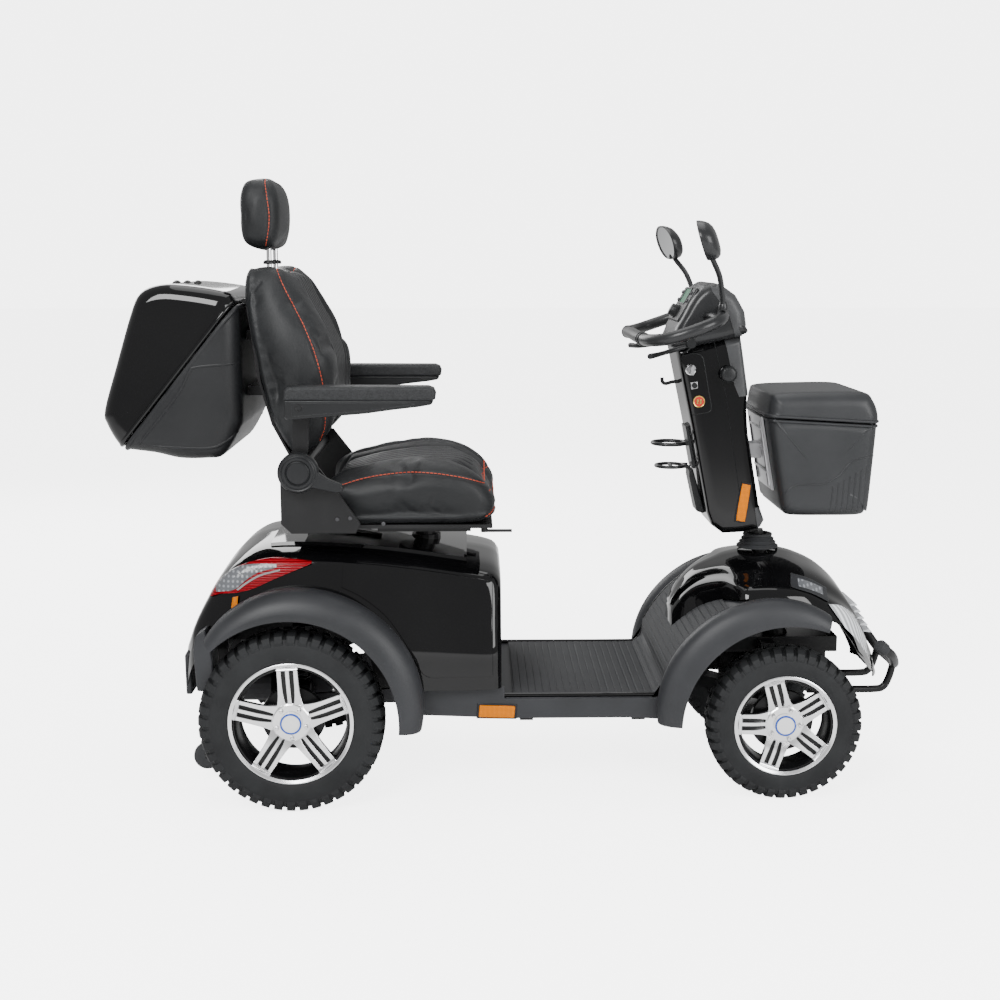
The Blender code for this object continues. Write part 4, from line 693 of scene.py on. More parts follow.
def make_tail_light(label, side):
    body_low = [(-0.694, 0.467), (-0.686, 0.472), (-0.664, 0.480), (-0.630, 0.483), (-0.590, 0.492),
        (-0.540, 0.514), (-0.462, 0.545)]
    body_high = [(-0.697, 0.474), (-0.686, 0.487), (-0.664, 0.510), (-0.632, 0.534), (-0.590, 0.550),
        (-0.540, 0.557), (-0.462, 0.550)]
    lamp = patch_mesh(REAR_STATIONS, 0.262, side, body_low, body_high, 36, 14, 0.0075, 0.010)
    place("tail_light_lens_" + label, lamp, "red", "chassis", "red_lens", "tail_light_" + label, smooth=40,
        bevel=0.002, segments=2)
    low = [(-0.672, 0.484), (-0.650, 0.487), (-0.628, 0.492), (-0.606, 0.510), (-0.580, 0.527),
        (-0.538, 0.538)]
    high = [(-0.676, 0.496), (-0.660, 0.514), (-0.640, 0.530), (-0.612, 0.542), (-0.580, 0.546),
        (-0.538, 0.545)]
    clear = patch_mesh(REAR_STATIONS, 0.262, side, low, high, 24, 10, 0.0092, 0.006)
    place("reverse_light_" + label, clear, "clear", "chassis", "clear_lens", smooth=40)
    strip_low = [(-0.622, 0.489), (-0.600, 0.505), (-0.572, 0.520), (-0.530, 0.531)]
    strip_high = [(-0.626, 0.491), (-0.603, 0.508), (-0.574, 0.5235), (-0.530, 0.5345)]
    strip = patch_mesh(REAR_STATIONS, 0.262, side, strip_low, strip_high, 20, 4, 0.0094, 0.006)
    place("tail_light_trim_" + label, strip, "chrome", "chassis", "chrome_metal", smooth=40)
    amber = patch_mesh(REAR_STATIONS, 0.262, side, [(-0.638, 0.442), (-0.626, 0.440)],
        [(-0.634, 0.474), (-0.622, 0.476)], 6, 6, 0.012, 0.006)
    place("rear_amber_reflector_" + label, amber, "amber", "chassis", "red_lens", smooth=40)


FENDER = [(0.290, 0.258), (0.2975, 0.270), (0.3020, 0.286), (0.3030, 0.305), (0.2990, 0.322),
    (0.2880, 0.336), (0.2720, 0.346), (0.2560, 0.351), (0.2400, 0.3535),
          (0.2372, 0.3520), (0.2380, 0.3490), (0.2545, 0.3455), (0.2700, 0.3405), (0.2845, 0.3315),
          (0.2945, 0.3190), (0.2985, 0.304), (0.2975, 0.288), (0.2930, 0.274), (0.2860, 0.262)]


def fender_mesh(centre, side, start, end, drop, shift, squeeze, steps=72):
    loops = []
    for k in range(steps + 1):
        t = k / steps
        angle = math.radians(start + (end - start) * t)
        taper = 1.0 - drop * abs(2 * t - 0.85) ** 2.6
        loop = []
        for radius, y in FENDER:
            reach = 0.2372 + (radius - 0.2372) * taper
            width = 0.258 + (y - 0.258) * squeeze
            loop.append((centre[0] + reach * math.cos(angle), side * (width + shift),
                centre[1] + reach * math.sin(angle)))
        loops.append(loop)
    return loft_mesh(loops)


def make_fenders():
    for label, side in SIDES:
        place("rear_fender_flare_" + label, fender_mesh(REAR_AXLE, side, -4, 134, 0.40, 0.0, 1.0), "grey",
            "chassis", "grey_plastic", "rear_fender_" + label, smooth=60)
        place("front_fender_flare_" + label, fender_mesh(FRONT_AXLE, side, 178, 70, 0.35, -0.022, 0.72),
            "grey", "chassis", "grey_plastic", "front_fender_" + label, smooth=60)
        liner = bmesh.new()
        loops = []
        for k in range(33):
            angle = math.radians(2 + 132 * k / 32)
            loops.append([(REAR_AXLE[0] + r * math.cos(angle), side * y,
                REAR_AXLE[1] + r * math.sin(angle)) for r, y in ((0.2510, 0.170), (0.2510, 0.285),
                (0.2535, 0.285), (0.2535, 0.170))])
        loft_mesh(loops, bm=liner)
        place("rear_wheel_liner_" + label, liner, "black", "chassis", "grey_plastic", smooth=60)


# ------------------------------------------------------------ floor
def make_floor():
    toe = arc(FRONT_AXLE, 0.286, 156, 108, 24)
    top = [(-0.046, 0.2350), (0.296, 0.2350), (0.311, 0.238), (0.322, 0.247), (0.329, 0.260),
        (0.3325, 0.274)] + toe
    under = list(reversed(arc(FRONT_AXLE, 0.2820, 156, 108, 24))) + [(0.328, 0.276), (0.3245, 0.262),
        (0.318, 0.250), (0.309, 0.242), (0.296, 0.2310), (-0.046, 0.2310)]
    tray = prism_mesh(top + under, -0.2345, 0.2345)
    for _, side in SIDES:
        skirt = [(-0.238, 0.200), (-0.226, 0.197), (-0.012, 0.1885), (0.100, 0.1885), (0.250, 0.1885),
            (0.334, 0.1835), (0.352, 0.190), (0.349, 0.236), (0.300, 0.2345), (-0.036, 0.2345),
                 (-0.036, 0.262), (-0.060, 0.268), (-0.196, 0.268), (-0.212, 0.276), (-0.226, 0.290)]
        prism_mesh(skirt, side * 0.2350, side * 0.2425, bm=tray)
    place("floor_tray", tray, "grey", "chassis", "grey_plastic", "floor_pan", smooth=30, bevel=0.0016,
        segments=2)
    for label, side in SIDES:
        lip_path = [(-0.044, side * 0.2300, 0.2395), (0.290, side * 0.2300, 0.2395)]
        lip_path += [(x, side * 0.2300, z) for x, z in [(0.311, 0.2435), (0.322, 0.252),
            (0.3305, 0.268)] + arc(FRONT_AXLE, 0.2880, 155, 110, 16)]
        place("floor_edge_trim_" + label, tube_mesh(curve_through(lip_path, 3), 0.0045, 10), "gloss",
            "chassis", "grey_plastic", smooth=60)
        reflector = prism_mesh([(-0.094, 0.193), (-0.014, 0.191), (-0.012, 0.218), (-0.092, 0.221)],
            side * 0.2415, side * 0.2475)
        place("side_reflector_" + label, reflector, "amber", "chassis", "red_lens", smooth=30, bevel=0.002,
            segments=2)
        holder = prism_mesh([(-0.099, 0.1890), (-0.009, 0.1870), (-0.007, 0.2220), (-0.097, 0.2250)],
            side * 0.2410, side * 0.2440)
        place("side_reflector_holder_" + label, holder, "black", "chassis", "grey_plastic", smooth=30,
            bevel=0.002, segments=2)
    make_mat()


def make_mat():
    """The ribbed rubber mat: a flat floor, a curved rise, and raised ribs across it."""
    path = curve_through([(-0.016, 0.2386), (0.140, 0.2386), (0.285, 0.2386), (0.307, 0.2420),
        (0.3195, 0.2505), (0.3275, 0.2640)] + arc(FRONT_AXLE, 0.2895, 156, 116, 8), 40)
    length, points, lengths = 0.0, [path[0]], [0.0]
    for a, b in zip(path, path[1:]):
        length += (b - a).length
        points.append(b)
        lengths.append(length)
    bm = bmesh.new()
    count = 330
    top, bottom = [], []
    index = 0
    for k in range(count + 1):
        s = length * k / count
        while index < len(lengths) - 2 and lengths[index + 1] < s:
            index += 1
        t = (s - lengths[index]) / max(1e-9, lengths[index + 1] - lengths[index])
        p = points[index] + (points[index + 1] - points[index]) * t
        along = (points[index + 1] - points[index]).normalized()
        normal = Vector((-along.y, along.x))
        groove = 0.0011 if (s % 0.0165) > 0.0030 else 0.0
        top.append(p + normal * (0.0012 + groove))
        bottom.append(p)
    ys = [-0.222, -0.216, -0.205, -0.200, 0.200, 0.205, 0.216, 0.222]
    rows = []
    for p, q in zip(top, bottom):
        loop = []
        for i, y in enumerate(ys):
            flat = i in (0, 1, 6, 7)
            rise = (p - q).normalized() * 0.0020 if flat and i in (1, 6) else (p - q)
            loop.append((q.x + rise.x, y, q.y + rise.y))
        loop += [(q.x, ys[-1], q.y), (q.x, ys[0], q.y)]
        rows.append(loop)
    loft_mesh(rows, bm=bm)
    place("floor_mat_ribbed", bm, "mat", "chassis", "mat_rubber", "floor_mat", smooth=25)


# ------------------------------------------------------------ front body
def make_front_body():
    cover = place("front_cover", cover_mesh(FRONT_STATIONS, 0.240, 80), "gloss", "chassis", "gloss_black",
        "front_shroud", smooth=50, solid=0.0035)
    cutters = [rod_mesh((FRONT_AXLE[0], side * 0.102, FRONT_AXLE[1]),
        (FRONT_AXLE[0], side * 0.40, FRONT_AXLE[1]), 0.2500, 72) for _, side in SIDES]
    toe = arc(FRONT_AXLE, 0.2915, 162, 106, 20) + [(0.505, 0.300), (0.300, 0.200)]
    cutters.append(prism_mesh(toe, -0.30, 0.30))
    cutters.append(prism_mesh([(0.35, 0.20), (0.35, 0.33), (0.74, 0.33), (0.775, 0.20)], -0.30, 0.30))
    neck = Vector((0.5705, 0, 0.50))
    cutters.append(rod_mesh(neck, neck + Vector((0, 0, 0.1)), 0.047, 40))
    carve(cover, cutters, solver="MANIFOLD")
    cover.data.shade_smooth()
    cover.data.set_sharp_from_angle(angle=math.radians(50))
    for label, side in SIDES:
        low = [(0.742, 0.378), (0.775, 0.345), (0.800, 0.312), (0.812, 0.300)]
        high = [(0.700, 0.436), (0.735, 0.425), (0.772, 0.395), (0.812, 0.330)]
        place("headlamp_" + label, patch_mesh(FRONT_STATIONS, 0.240, side, low, high, 18, 12, 0.0045,
            0.008), "lamp", "chassis", "clear_lens", smooth=50, bevel=0.0015, segments=2)
        low = [(0.612, 0.478), (0.660, 0.462), (0.700, 0.441)]
        high = [(0.620, 0.500), (0.664, 0.486), (0.707, 0.462)]
        place("front_indicator_housing_" + label, patch_mesh(FRONT_STATIONS, 0.240, side, low, high, 14, 8,
            0.0060, 0.009), "grey", "chassis", "grey_plastic", smooth=50, bevel=0.002, segments=2)
        low = [(0.630, 0.478), (0.660, 0.468), (0.690, 0.455)]
        high = [(0.634, 0.491), (0.664, 0.480), (0.694, 0.466)]
        place("front_indicator_lens_" + label, patch_mesh(FRONT_STATIONS, 0.240, side, low, high, 12, 6,
            0.0078, 0.006), "clear", "chassis", "clear_lens", smooth=50)
    grille = bmesh.new()
    for k in range(5):
        z = 0.338 + 0.016 * k
        x = 0.8250 - 0.0090 * k
        loft_mesh([[(x + 0.010 - 0.0012 * abs(y) * 60 * abs(y), y, z - 0.0028),
            (x + 0.012 - 0.0012 * abs(y) * 60 * abs(y), y, z),
            (x + 0.008 - 0.0012 * abs(y) * 60 * abs(y), y, z + 0.004), (x - 0.012, y, z)]
                   for y in [-0.060 + 0.012 * j for j in range(11)]], bm=grille)
    place("nose_grille", grille, "lamp", "chassis", "clear_lens", "headlight", smooth=40)
    bar = [(0.838, -0.150, 0.322), (0.868, -0.125, 0.297), (0.891, -0.070, 0.262), (0.899, 0.0, 0.256),
        (0.891, 0.070, 0.262), (0.868, 0.125, 0.297), (0.838, 0.150, 0.322)]
    bumper = tube_mesh(curve_through(bar, 10), 0.0110, 20)
    for _, side in SIDES:
        y = side * 0.068
        leg = [(0.715, y, 0.199), (0.760, y, 0.199), (0.845, y, 0.199), (0.868, y, 0.205),
            (0.880, y, 0.226), (0.889, y, 0.260)]
        tube_mesh(curve_through(leg, 10), 0.0085, 18, bm=bumper)
    box_mesh((0.705, -0.078, 0.187), (0.725, -0.040, 0.194), bm=bumper)
    box_mesh((0.705, 0.040, 0.187), (0.725, 0.078, 0.194), bm=bumper)
    place("bumper_tubes", bumper, "steel", "chassis", "frame_steel", "front_bumper", smooth=40)
    knobs = bmesh.new()
    for _, side in SIDES:
        at = Vector((0.838, side * 0.150, 0.322))
        along = Vector((-0.55, side * 0.45, 0.45)).normalized()
        turned_mesh([(0.010, -0.012), (0.0150, -0.010), (0.0155, 0.010), (0.0120, 0.016), (0.004, 0.018)],
            at, along, 28, bm=knobs)
    place("bumper_end_caps", knobs, "mat", "chassis", "mat_rubber", smooth=40)


def make_springs():
    """Coil springs over dampers, between each axle and the frame."""
    for label, side in SIDES:
        for kind, body, x, y, low, high, joint, radius in (
            ("rear", "chassis", -0.505, side * 0.112, 0.2365, 0.3255, "rear_swing", 0.019),
            ("front", "chassis", 0.587, side * 0.075, 0.1965, 0.2895, "front_swing", 0.015),
        ):
            path = []
            turns = 6
            for k in range(turns * 16 + 1):
                angle = 2 * math.pi * k / 16
                path.append((x + radius * math.cos(angle), y + radius * math.sin(angle),
                    low + 0.004 + (high - low - 0.008) * k / (turns * 16)))
            spring = place(f"{kind}_spring_{label}", tube_mesh(path, 0.0028, 8), "steel", body,
                "frame_steel", smooth=60)
            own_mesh(spring)


CAD_FINISHES = {
    "steel": ("main_frame", "seat_post", "swivel_plate", "seat_frame", "seat_slide_lever", "backrest_frame",
    "steering_stem", "tie_rod", "front_axle_beam",
              "steering_knuckle_right", "steering_knuckle_left"),
    "cast": ("rear_transaxle", "drive_motor"),
    "black": ("battery_pack",),
    "silver": ("tiller_column",),
}


def dress_cad():
    for finish, names in CAD_FINISHES.items():
        for name in names:
            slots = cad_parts[name].material_slots
            for slot in slots:
                slot.material = M[finish]


make_rear_body()
make_fenders()
make_floor()
make_front_body()
make_springs()
dress_cad()

# ------------------------------------------------------------ shells and padding
TILLER_OUTLINE = [
    (0.357, 1.0055), (0.395, 0.831), (0.437, 0.625), (0.448, 0.598), (0.475, 0.578), (0.518, 0.580),
    (0.558, 0.588),
    (0.569, 0.609), (0.559, 0.636), (0.527, 0.813), (0.522, 0.872), (0.523, 0.906), (0.503, 1.0325),
]
CONSOLE_OUTLINE = [
    (0.354, 1.0065), (0.505, 1.0360), (0.513, 1.060), (0.508, 1.090), (0.487, 1.126), (0.452, 1.150),
    (0.425, 1.152),
    (0.395, 1.125), (0.372, 1.085), (0.352, 1.045),
]
FRONT_BOX_OUTLINE = [
    (0.5560, 0.890), (0.5615, 0.853), (0.577, 0.758), (0.5965, 0.654), (0.603, 0.640), (0.618, 0.6300),
    (0.700, 0.6285),
    (0.774, 0.6300), (0.790, 0.6400), (0.7975, 0.656), (0.8085, 0.8385), (0.811, 0.880),
]
FRONT_LID_OUTLINE = [
    (0.5560, 0.820), (0.5625, 0.868), (0.5665, 0.895), (0.582, 0.9085), (0.680, 0.9125), (0.774, 0.911),
    (0.798, 0.892),
    (0.8095, 0.862), (0.8100, 0.835), (0.811, 0.805),
]
SEAT_OUTLINE = [
    (-0.430, 0.6290), (-0.260, 0.6290), (-0.110, 0.6310), (-0.060, 0.642), (-0.043, 0.668), (-0.050, 0.694),
    (-0.075, 0.726), (-0.128, 0.752), (-0.204, 0.761), (-0.305, 0.750), (-0.372, 0.735), (-0.430, 0.722),
    (-0.452, 0.700), (-0.450, 0.648),
]
BACK_OUTLINE = [
    (-0.470, 0.780), (-0.500, 0.781), (-0.540, 0.850), (-0.565, 0.942), (-0.583, 1.035), (-0.595, 1.105),
    (-0.598, 1.160),
    (-0.589, 1.190), (-0.566, 1.1985), (-0.529, 1.1965), (-0.510, 1.173), (-0.484, 1.132), (-0.451, 1.081),
    (-0.427, 1.035), (-0.409, 0.989), (-0.407, 0.928), (-0.417, 0.844), (-0.443, 0.803),
]
HEADREST_OUTLINE = [
    (-0.602, 1.238), (-0.578, 1.230), (-0.545, 1.234), (-0.533, 1.258), (-0.528, 1.300), (-0.532, 1.350),
    (-0.548, 1.378),
    (-0.570, 1.381), (-0.600, 1.378), (-0.612, 1.352), (-0.614, 1.300), (-0.611, 1.255),
]
REAR_BOX_OUTLINE = [
    (-0.614, 1.090), (-0.613, 0.980), (-0.613, 0.870), (-0.622, 0.838), (-0.655, 0.785), (-0.690, 0.7775),
    (-0.746, 0.778),
    (-0.800, 0.791), (-0.866, 0.801), (-0.882, 0.811), (-0.904, 0.850), (-0.909, 0.882), (-0.880, 0.980),
    (-0.845, 1.090),
    (-0.822, 1.136), (-0.778, 1.153), (-0.720, 1.1515), (-0.650, 1.141), (-0.623, 1.128),
]


def smooth_step(low, high, value):
    t = max(0.0, min(1.0, (value - low) / (high - low)))
    return t * t * (3 - 2 * t)


def inset_loop(points, amount):
    """Moves each point of a closed (x, z) loop inwards, towards the side its middle lies on."""
    middle = sum(points, Vector((0, 0))) / len(points)
    moved = []
    for i, p in enumerate(points):
        along = (points[(i + 1) % len(points)] - points[i - 1]).normalized()
        inward = Vector((-along.y, along.x))
        if inward.dot(middle - p) < 0:
            inward = -inward
        moved.append(p + inward * amount)
    return moved


def shrink_loop(points, amount):
    """Draws a closed (x, z) loop in towards its middle, by amount at each of its four extremes."""
    low = Vector((min(p.x for p in points), min(p.y for p in points)))
    high = Vector((max(p.x for p in points), max(p.y for p in points)))
    middle, half = (low + high) / 2, (high - low) / 2
    across, up = 1 - amount / half.x, 1 - amount / half.y
    return [Vector((middle.x + (p.x - middle.x) * across,
        middle.y + (p.y - middle.y) * up)) for p in points]


def pillow_mesh(outline, half, rounding, fine=5, grow=0.0, crown=0.0, shape=None, rows=12, sharp=False):
    """An outline along Y with rounded edges to its two side faces. crown swells the side faces."""
    path = [Vector(p) for p in outline] if sharp else curve_through(outline, fine, closed=True)
    path = [p.to_2d() for p in path]
    if sharp:
        path = [a + (b - a) * k / fine for a, b in zip(path, path[1:] + path[:1]) for k in range(fine)]
    path = inset_loop(path, -grow)
    half += grow
    middle = sum(path, Vector((0, 0))) / len(path)
    levels = []
    for part in (0.25, 0.5, 0.75):
        levels.append((half + crown * (1 - part * part), rounding, part))
    for k in range(7):
        angle = math.pi / 2 * k / 6
        levels.append((half - rounding * (1 - math.cos(angle)), rounding * (1 - math.sin(angle)), 1.0))
    flat = [(half - rounding) * (1 - 2 * k / rows) for k in range(rows + 1)]
    right = [(-y, inset, part) for y, inset, part in levels]
    middle_rows = [(-y, 0.0, 1.0) for y in flat[1:-1]]
    left = [(y, inset, part) for y, inset, part in reversed(levels)]
    loops = []
    for y, inset, part in right + middle_rows + left:
        loop = []
        for p in shrink_loop(path, inset):
            q = middle + (p - middle) * part
            point = (q.x, y, q.y)
            loop.append(shape(*point) if shape else point)
        loops.append(loop)
    return loft_mesh(loops)


def cut_plane(bm, at, normal, fill=False):
    """Removes what lies on the normal's side."""
    bmesh.ops.recalc_face_normals(bm, faces=bm.faces)
    found = bmesh.ops.bisect_plane(bm, geom=bm.verts[:] + bm.edges[:] + bm.faces[:], plane_co=at,
        plane_no=normal, clear_outer=True)
    edges = [e for e in found["geom_cut"] if isinstance(e, bmesh.types.BMEdge)]
    loop = ordered_loop(edges)
    if fill:
        bmesh.ops.holes_fill(bm, edges=edges)
    return loop


def ordered_loop(edges):
    """The points of a ring of edges, in order round it."""
    links = {}
    for edge in edges:
        a, b = edge.verts
        links.setdefault(a, []).append(b)
        links.setdefault(b, []).append(a)
    start = next(iter(links))
    ring, last, here = [start.co.copy()], None, start
    while True:
        ahead = [v for v in links[here] if v is not last]
        if not ahead or ahead[0] is start:
            return ring
        last, here = here, ahead[0]
        ring.append(here.co.copy())


def inflate(obj, cap, hold):
    """Cloth under pressure swells the mesh by at most cap. The side that faces along hold hardly moves."""
    rest = [(v.co.copy(), v.normal.copy()) for v in obj.data.vertices]
    cloth = obj.modifiers.new("cloth", "CLOTH")
    cloth.settings.use_pressure = True
    cloth.settings.uniform_pressure_force = 4.0
    cloth.settings.effector_weights.gravity = 0.0
    cloth.settings.tension_stiffness = 12
    cloth.settings.compression_stiffness = 12
    cloth.settings.bending_stiffness = 0.6
    cloth.settings.quality = 4
    scene = bpy.context.scene
    for number in range(1, 21):
        scene.frame_set(number)
    apply_modifiers(obj)
    scene.frame_set(1)
    for vertex, (was, normal) in zip(obj.data.vertices, rest):
        most = cap * (0.15 if normal.dot(Vector(hold)) > 0.5 else 1.0)
        move = vertex.co - was
        if move.length > most:
            vertex.co = was + move * (most / move.length)


def relax(obj, rounds):
    bm = bmesh.new()
    bm.from_mesh(obj.data)
    for _ in range(rounds):
        bmesh.ops.smooth_vert(bm, verts=bm.verts, factor=0.5, use_axis_x=True, use_axis_y=True,
            use_axis_z=True)
    bm.to_mesh(obj.data)
    bm.free()


def padded_piece(name, bm, voxel, cap, hold, body, replaces):
    """A cushion: an even skin, swollen by cloth pressure, smoothed, with one subdivision."""
    bmesh.ops.recalc_face_normals(bm, faces=bm.faces)
    mesh = bpy.data.meshes.new(name)
    bm.to_mesh(mesh)
    bm.free()
    obj = bpy.data.objects.new(name, mesh)
    bpy.context.scene.collection.objects.link(obj)
    even = obj.modifiers.new("even", "REMESH")
    even.mode = "VOXEL"
    even.voxel_size = voxel
    apply_modifiers(obj)
    relax(obj, 3)
    inflate(obj, cap, hold)
    relax(obj, 2)
    finer = obj.modifiers.new("finer", "SUBSURF")
    finer.levels = finer.render_levels = 1
    apply_modifiers(obj)
    obj.data.materials.clear()
    obj.data.materials.append(M["leather"])
    obj.data.shade_smooth()
    finish_piece(obj, body, replaces)
    return obj


def skin_tree(obj):
    bpy.context.view_layer.update()
    bm = bmesh.new()
    bm.from_mesh(obj.data)
    tree = BVHTree.FromBMesh(bm)
    bm.free()
    return tree


def project(obj, points, direction):
    """Where rays from each point meet the piece: (place, normal) pairs."""
    tree = skin_tree(obj)
    hits = [tree.ray_cast(Vector(p), Vector(direction)) for p in points]
    return [(place, normal) for place, normal, _, _ in hits if place is not None]


def score(obj, lines, width, depth):
    """Presses a rounded groove into the piece along each line of (place, normal) pairs."""
    dense = []
    for line in lines:
        for (a, na), (b, _) in zip(line, line[1:]):
            steps = max(1, int((b - a).length / 0.0015))
            dense += [(a + (b - a) * k / steps, na) for k in range(steps)]
    tree = KDTree(len(dense))
    for i, (place, _) in enumerate(dense):
        tree.insert(place, i)
    tree.balance()
    for vertex in obj.data.vertices:
        _, index, far = tree.find(vertex.co)
        if far < 2.2 * width:
            vertex.co -= dense[index][1] * depth * math.exp(-(far / width) ** 2)


def stitches(name, lines, body, radius=0.0009, length=0.0062, gap=0.0026, lift=0.0004, finish="thread"):
    """Short threads laid end to end along lines of (place, normal) pairs."""
    bm = bmesh.new()
    for line in lines:
        at, done = 0.0, 0.0
        marks = []
        for (a, na), (b, _) in zip(line, line[1:]):
            span = (b - a).length
            while done + span > at:
                t = (at - done) / span
                marks.append((a + (b - a) * t, na))
                at += length + gap
            done += span
        for (a, na), (b, _) in zip(marks, marks[1:]):
            along = b - a
            if along.length > 2 * (length + gap):
                continue
            end = a + along * (length / (length + gap))
            low = na * (lift - radius)
            high = na * lift
            tube_mesh([a + low, a + along * 0.16 + high, (a + end) / 2 + high * 1.4,
                end - along * 0.16 + high, end + low], radius, 6, bm=bm)
    return place(name, bm, finish, body, "leatherette", smooth=60)


# ------------------------------------------------------------ seat
def make_seat():
    def seat_shape(x, y, z):
        """The middle lies lower than the side bolsters, and the front rolls down at the sides."""
        dish = 1 - smooth_step(0.110, 0.205, abs(y))
        upper = smooth_step(0.66, 0.72, z)
        front = smooth_step(-0.20, -0.05, x)
        return (x - 0.014 * front * smooth_step(0.12, 0.25, abs(y)) ** 2, y,
            z - upper * dish * (0.026 - 0.012 * front))

    bm = pillow_mesh(SEAT_OUTLINE, 0.243, 0.040, fine=6, crown=0.010, shape=seat_shape, rows=40)
    seat = padded_piece("seat_pad", bm, 0.0060, 0.024, (0, 0, -1), "seat", "seat_cushion")
    rows = []
    for k in range(9):
        y = -0.124 + 0.031 * k
        rows.append(project(seat, [(-0.425 + 0.006 * i, y, 1.2) for i in range(54)], (0, 0, -1)))
    edges = [project(seat, [(-0.432 + 0.006 * i, side * (0.150 + 0.016 * smooth_step(0, 60, i)),
        1.2) for i in range(62)], (0, 0, -1)) for side in (-1, 1)]
    curve = curve_through([(-0.428, 0.706), (-0.391, 0.719), (-0.317, 0.738), (-0.223, 0.746),
        (-0.146, 0.738), (-0.090, 0.722), (-0.060, 0.703), (-0.053, 0.680), (-0.062, 0.656),
        (-0.085, 0.641)], 12)
    seams = [project(seat, [(p.x, side * 0.5, p.y) for p in curve], (0, -side, 0)) for side in (-1, 1)]
    front = [project(seat, [(0.2, y * 0.01, 0.700) for y in range(-20, 21)], (-1, 0, 0))]
    score(seat, rows, 0.0045, 0.0034)
    score(seat, edges, 0.0050, 0.0040)
    score(seat, seams + front, 0.0040, 0.0022)
    stitches("seat_bolster_stitching", [project(seat, [(p.x, side * 0.5, p.y) for p in curve],
        (0, -side, 0)) for side in (-1, 1)], "seat")
    stitches("seat_front_stitching", [project(seat, [(0.2, y * 0.01, 0.7005) for y in range(-20, 21)],
        (-1, 0, 0))], "seat")
    fine_rows = [project(seat, [(p.x, y + 0.0035, 1.2) for p, _ in row[1:-1]], (0, 0, -1)) for row,
        y in zip(rows, [-0.124 + 0.031 * k for k in range(9)])]
    stitches("seat_pleat_stitching", fine_rows, "seat", radius=0.0005, length=0.004, gap=0.002, lift=0.0001,
        finish="black")


def make_back():
    def back_shape(x, y, z):
        """Bolsters stand forward of the middle, and the back narrows at the shoulders and the waist."""
        dish = 1 - smooth_step(0.105, 0.200, abs(y))
        front = smooth_step(-0.52, -0.47, x + 0.22 * max(0.0, z - 1.05))
        narrow = 1 - 0.15 * smooth_step(1.02, 1.22, z) - 0.10 * (1 - smooth_step(0.76, 0.90, z))
        return (x - front * dish * 0.024 * (1 - 0.7 * smooth_step(1.08, 1.20, z)), y * narrow, z)

    bm = pillow_mesh(BACK_OUTLINE, 0.240, 0.036, fine=5, crown=0.008, shape=back_shape, rows=40)
    back = padded_piece("back_pad", bm, 0.0060, 0.022, (-1, 0, 0), "backrest", "back_cushion")
    curve = curve_through([(-0.531, 1.190), (-0.506, 1.136), (-0.468, 1.066), (-0.445, 1.009),
        (-0.430, 0.943), (-0.428, 0.850), (-0.452, 0.795)], 14)
    rows = [project(back, [(0.2, y, 0.815 + 0.006 * i) for i in range(62)],
        (-1, 0, 0)) for y in [-0.112 + 0.032 * k for k in range(8)]]
    edges = [project(back, [(0.2, side * (0.148 - 0.030 * smooth_step(0, 66, i)),
        0.800 + 0.006 * i) for i in range(66)], (-1, 0, 0)) for side in (-1, 1)]
    top = [project(back, [(-0.5290, y * 0.01, 1.5) for y in range(-18, 19)], (0, 0, -1))]
    seams = [project(back, [(p.x, side * 0.5, p.y) for p in curve], (0, -side, 0)) for side in (-1, 1)]
    rear = [project(back, [(-0.9, side * 0.205, 0.83 + 0.008 * i) for i in range(42)],
        (1, 0, 0)) for side in (-1, 1)]
    score(back, rows, 0.0045, 0.0032)
    score(back, edges, 0.0050, 0.0040)
    score(back, seams + top + rear, 0.0040, 0.0022)
    stitches("back_bolster_stitching", [project(back, [(p.x, side * 0.5, p.y) for p in curve],
        (0, -side, 0)) for side in (-1, 1)], "backrest")
    stitches("back_top_stitching", [project(back, [(-0.5290, y * 0.01, 1.5) for y in range(-18, 19)],
        (0, 0, -1))], "backrest")


def make_headrest():
    def rest_shape(x, y, z):
        bow = 1 - (y / 0.13) ** 2
        return (x - 0.006 * (1 - bow), y * (1 - 0.10 * smooth_step(1.33, 1.39,
            z) - 0.06 * (1 - smooth_step(1.22, 1.26, z))), z)

    bm = pillow_mesh(HEADREST_OUTLINE, 0.122, 0.028, fine=5, crown=0.006, shape=rest_shape, rows=24)
    rest = padded_piece("headrest_pad", bm, 0.0042, 0.008, (-1, 0, 0), "head_support", "headrest")
    curve = curve_through([(-0.562, 1.381), (-0.555, 1.340), (-0.551, 1.300), (-0.555, 1.262),
        (-0.563, 1.233)], 10)
    sides = [[(p.x, side * 0.5, p.y) for p in curve] for side in (-1, 1)]
    score(rest, [project(rest, points, (0, -points[0][1], 0)) for points in sides], 0.0035, 0.0020)
    stitches("headrest_stitching", [project(rest, points, (0, -points[0][1], 0)) for points in sides],
        "head_support", radius=0.0009, length=0.005)
    posts, sockets = bmesh.new(), bmesh.new()
    for _, side in SIDES:
        y = side * 0.055
        path = [(-0.562, y, 1.050), (-0.562, y, 1.150), (-0.562, y, 1.225), (-0.562, y, 1.262)]
        tube_mesh(path, 0.0058, 24, bm=posts)
        collar = [(0.0062, 0.000), (0.0125, 0.000), (0.0135, 0.002), (0.0130, 0.006), (0.0105, 0.0085),
            (0.0062, 0.009)]
        turned_mesh(collar, (-0.562, y, 1.1955), (0, 0, 1), 32, closed=True, bm=sockets)
    place("headrest_posts", posts, "chrome", "head_support", "chrome_metal", smooth=50)
    place("headrest_post_collars", sockets, "black", "backrest", "black_plastic", smooth=40)


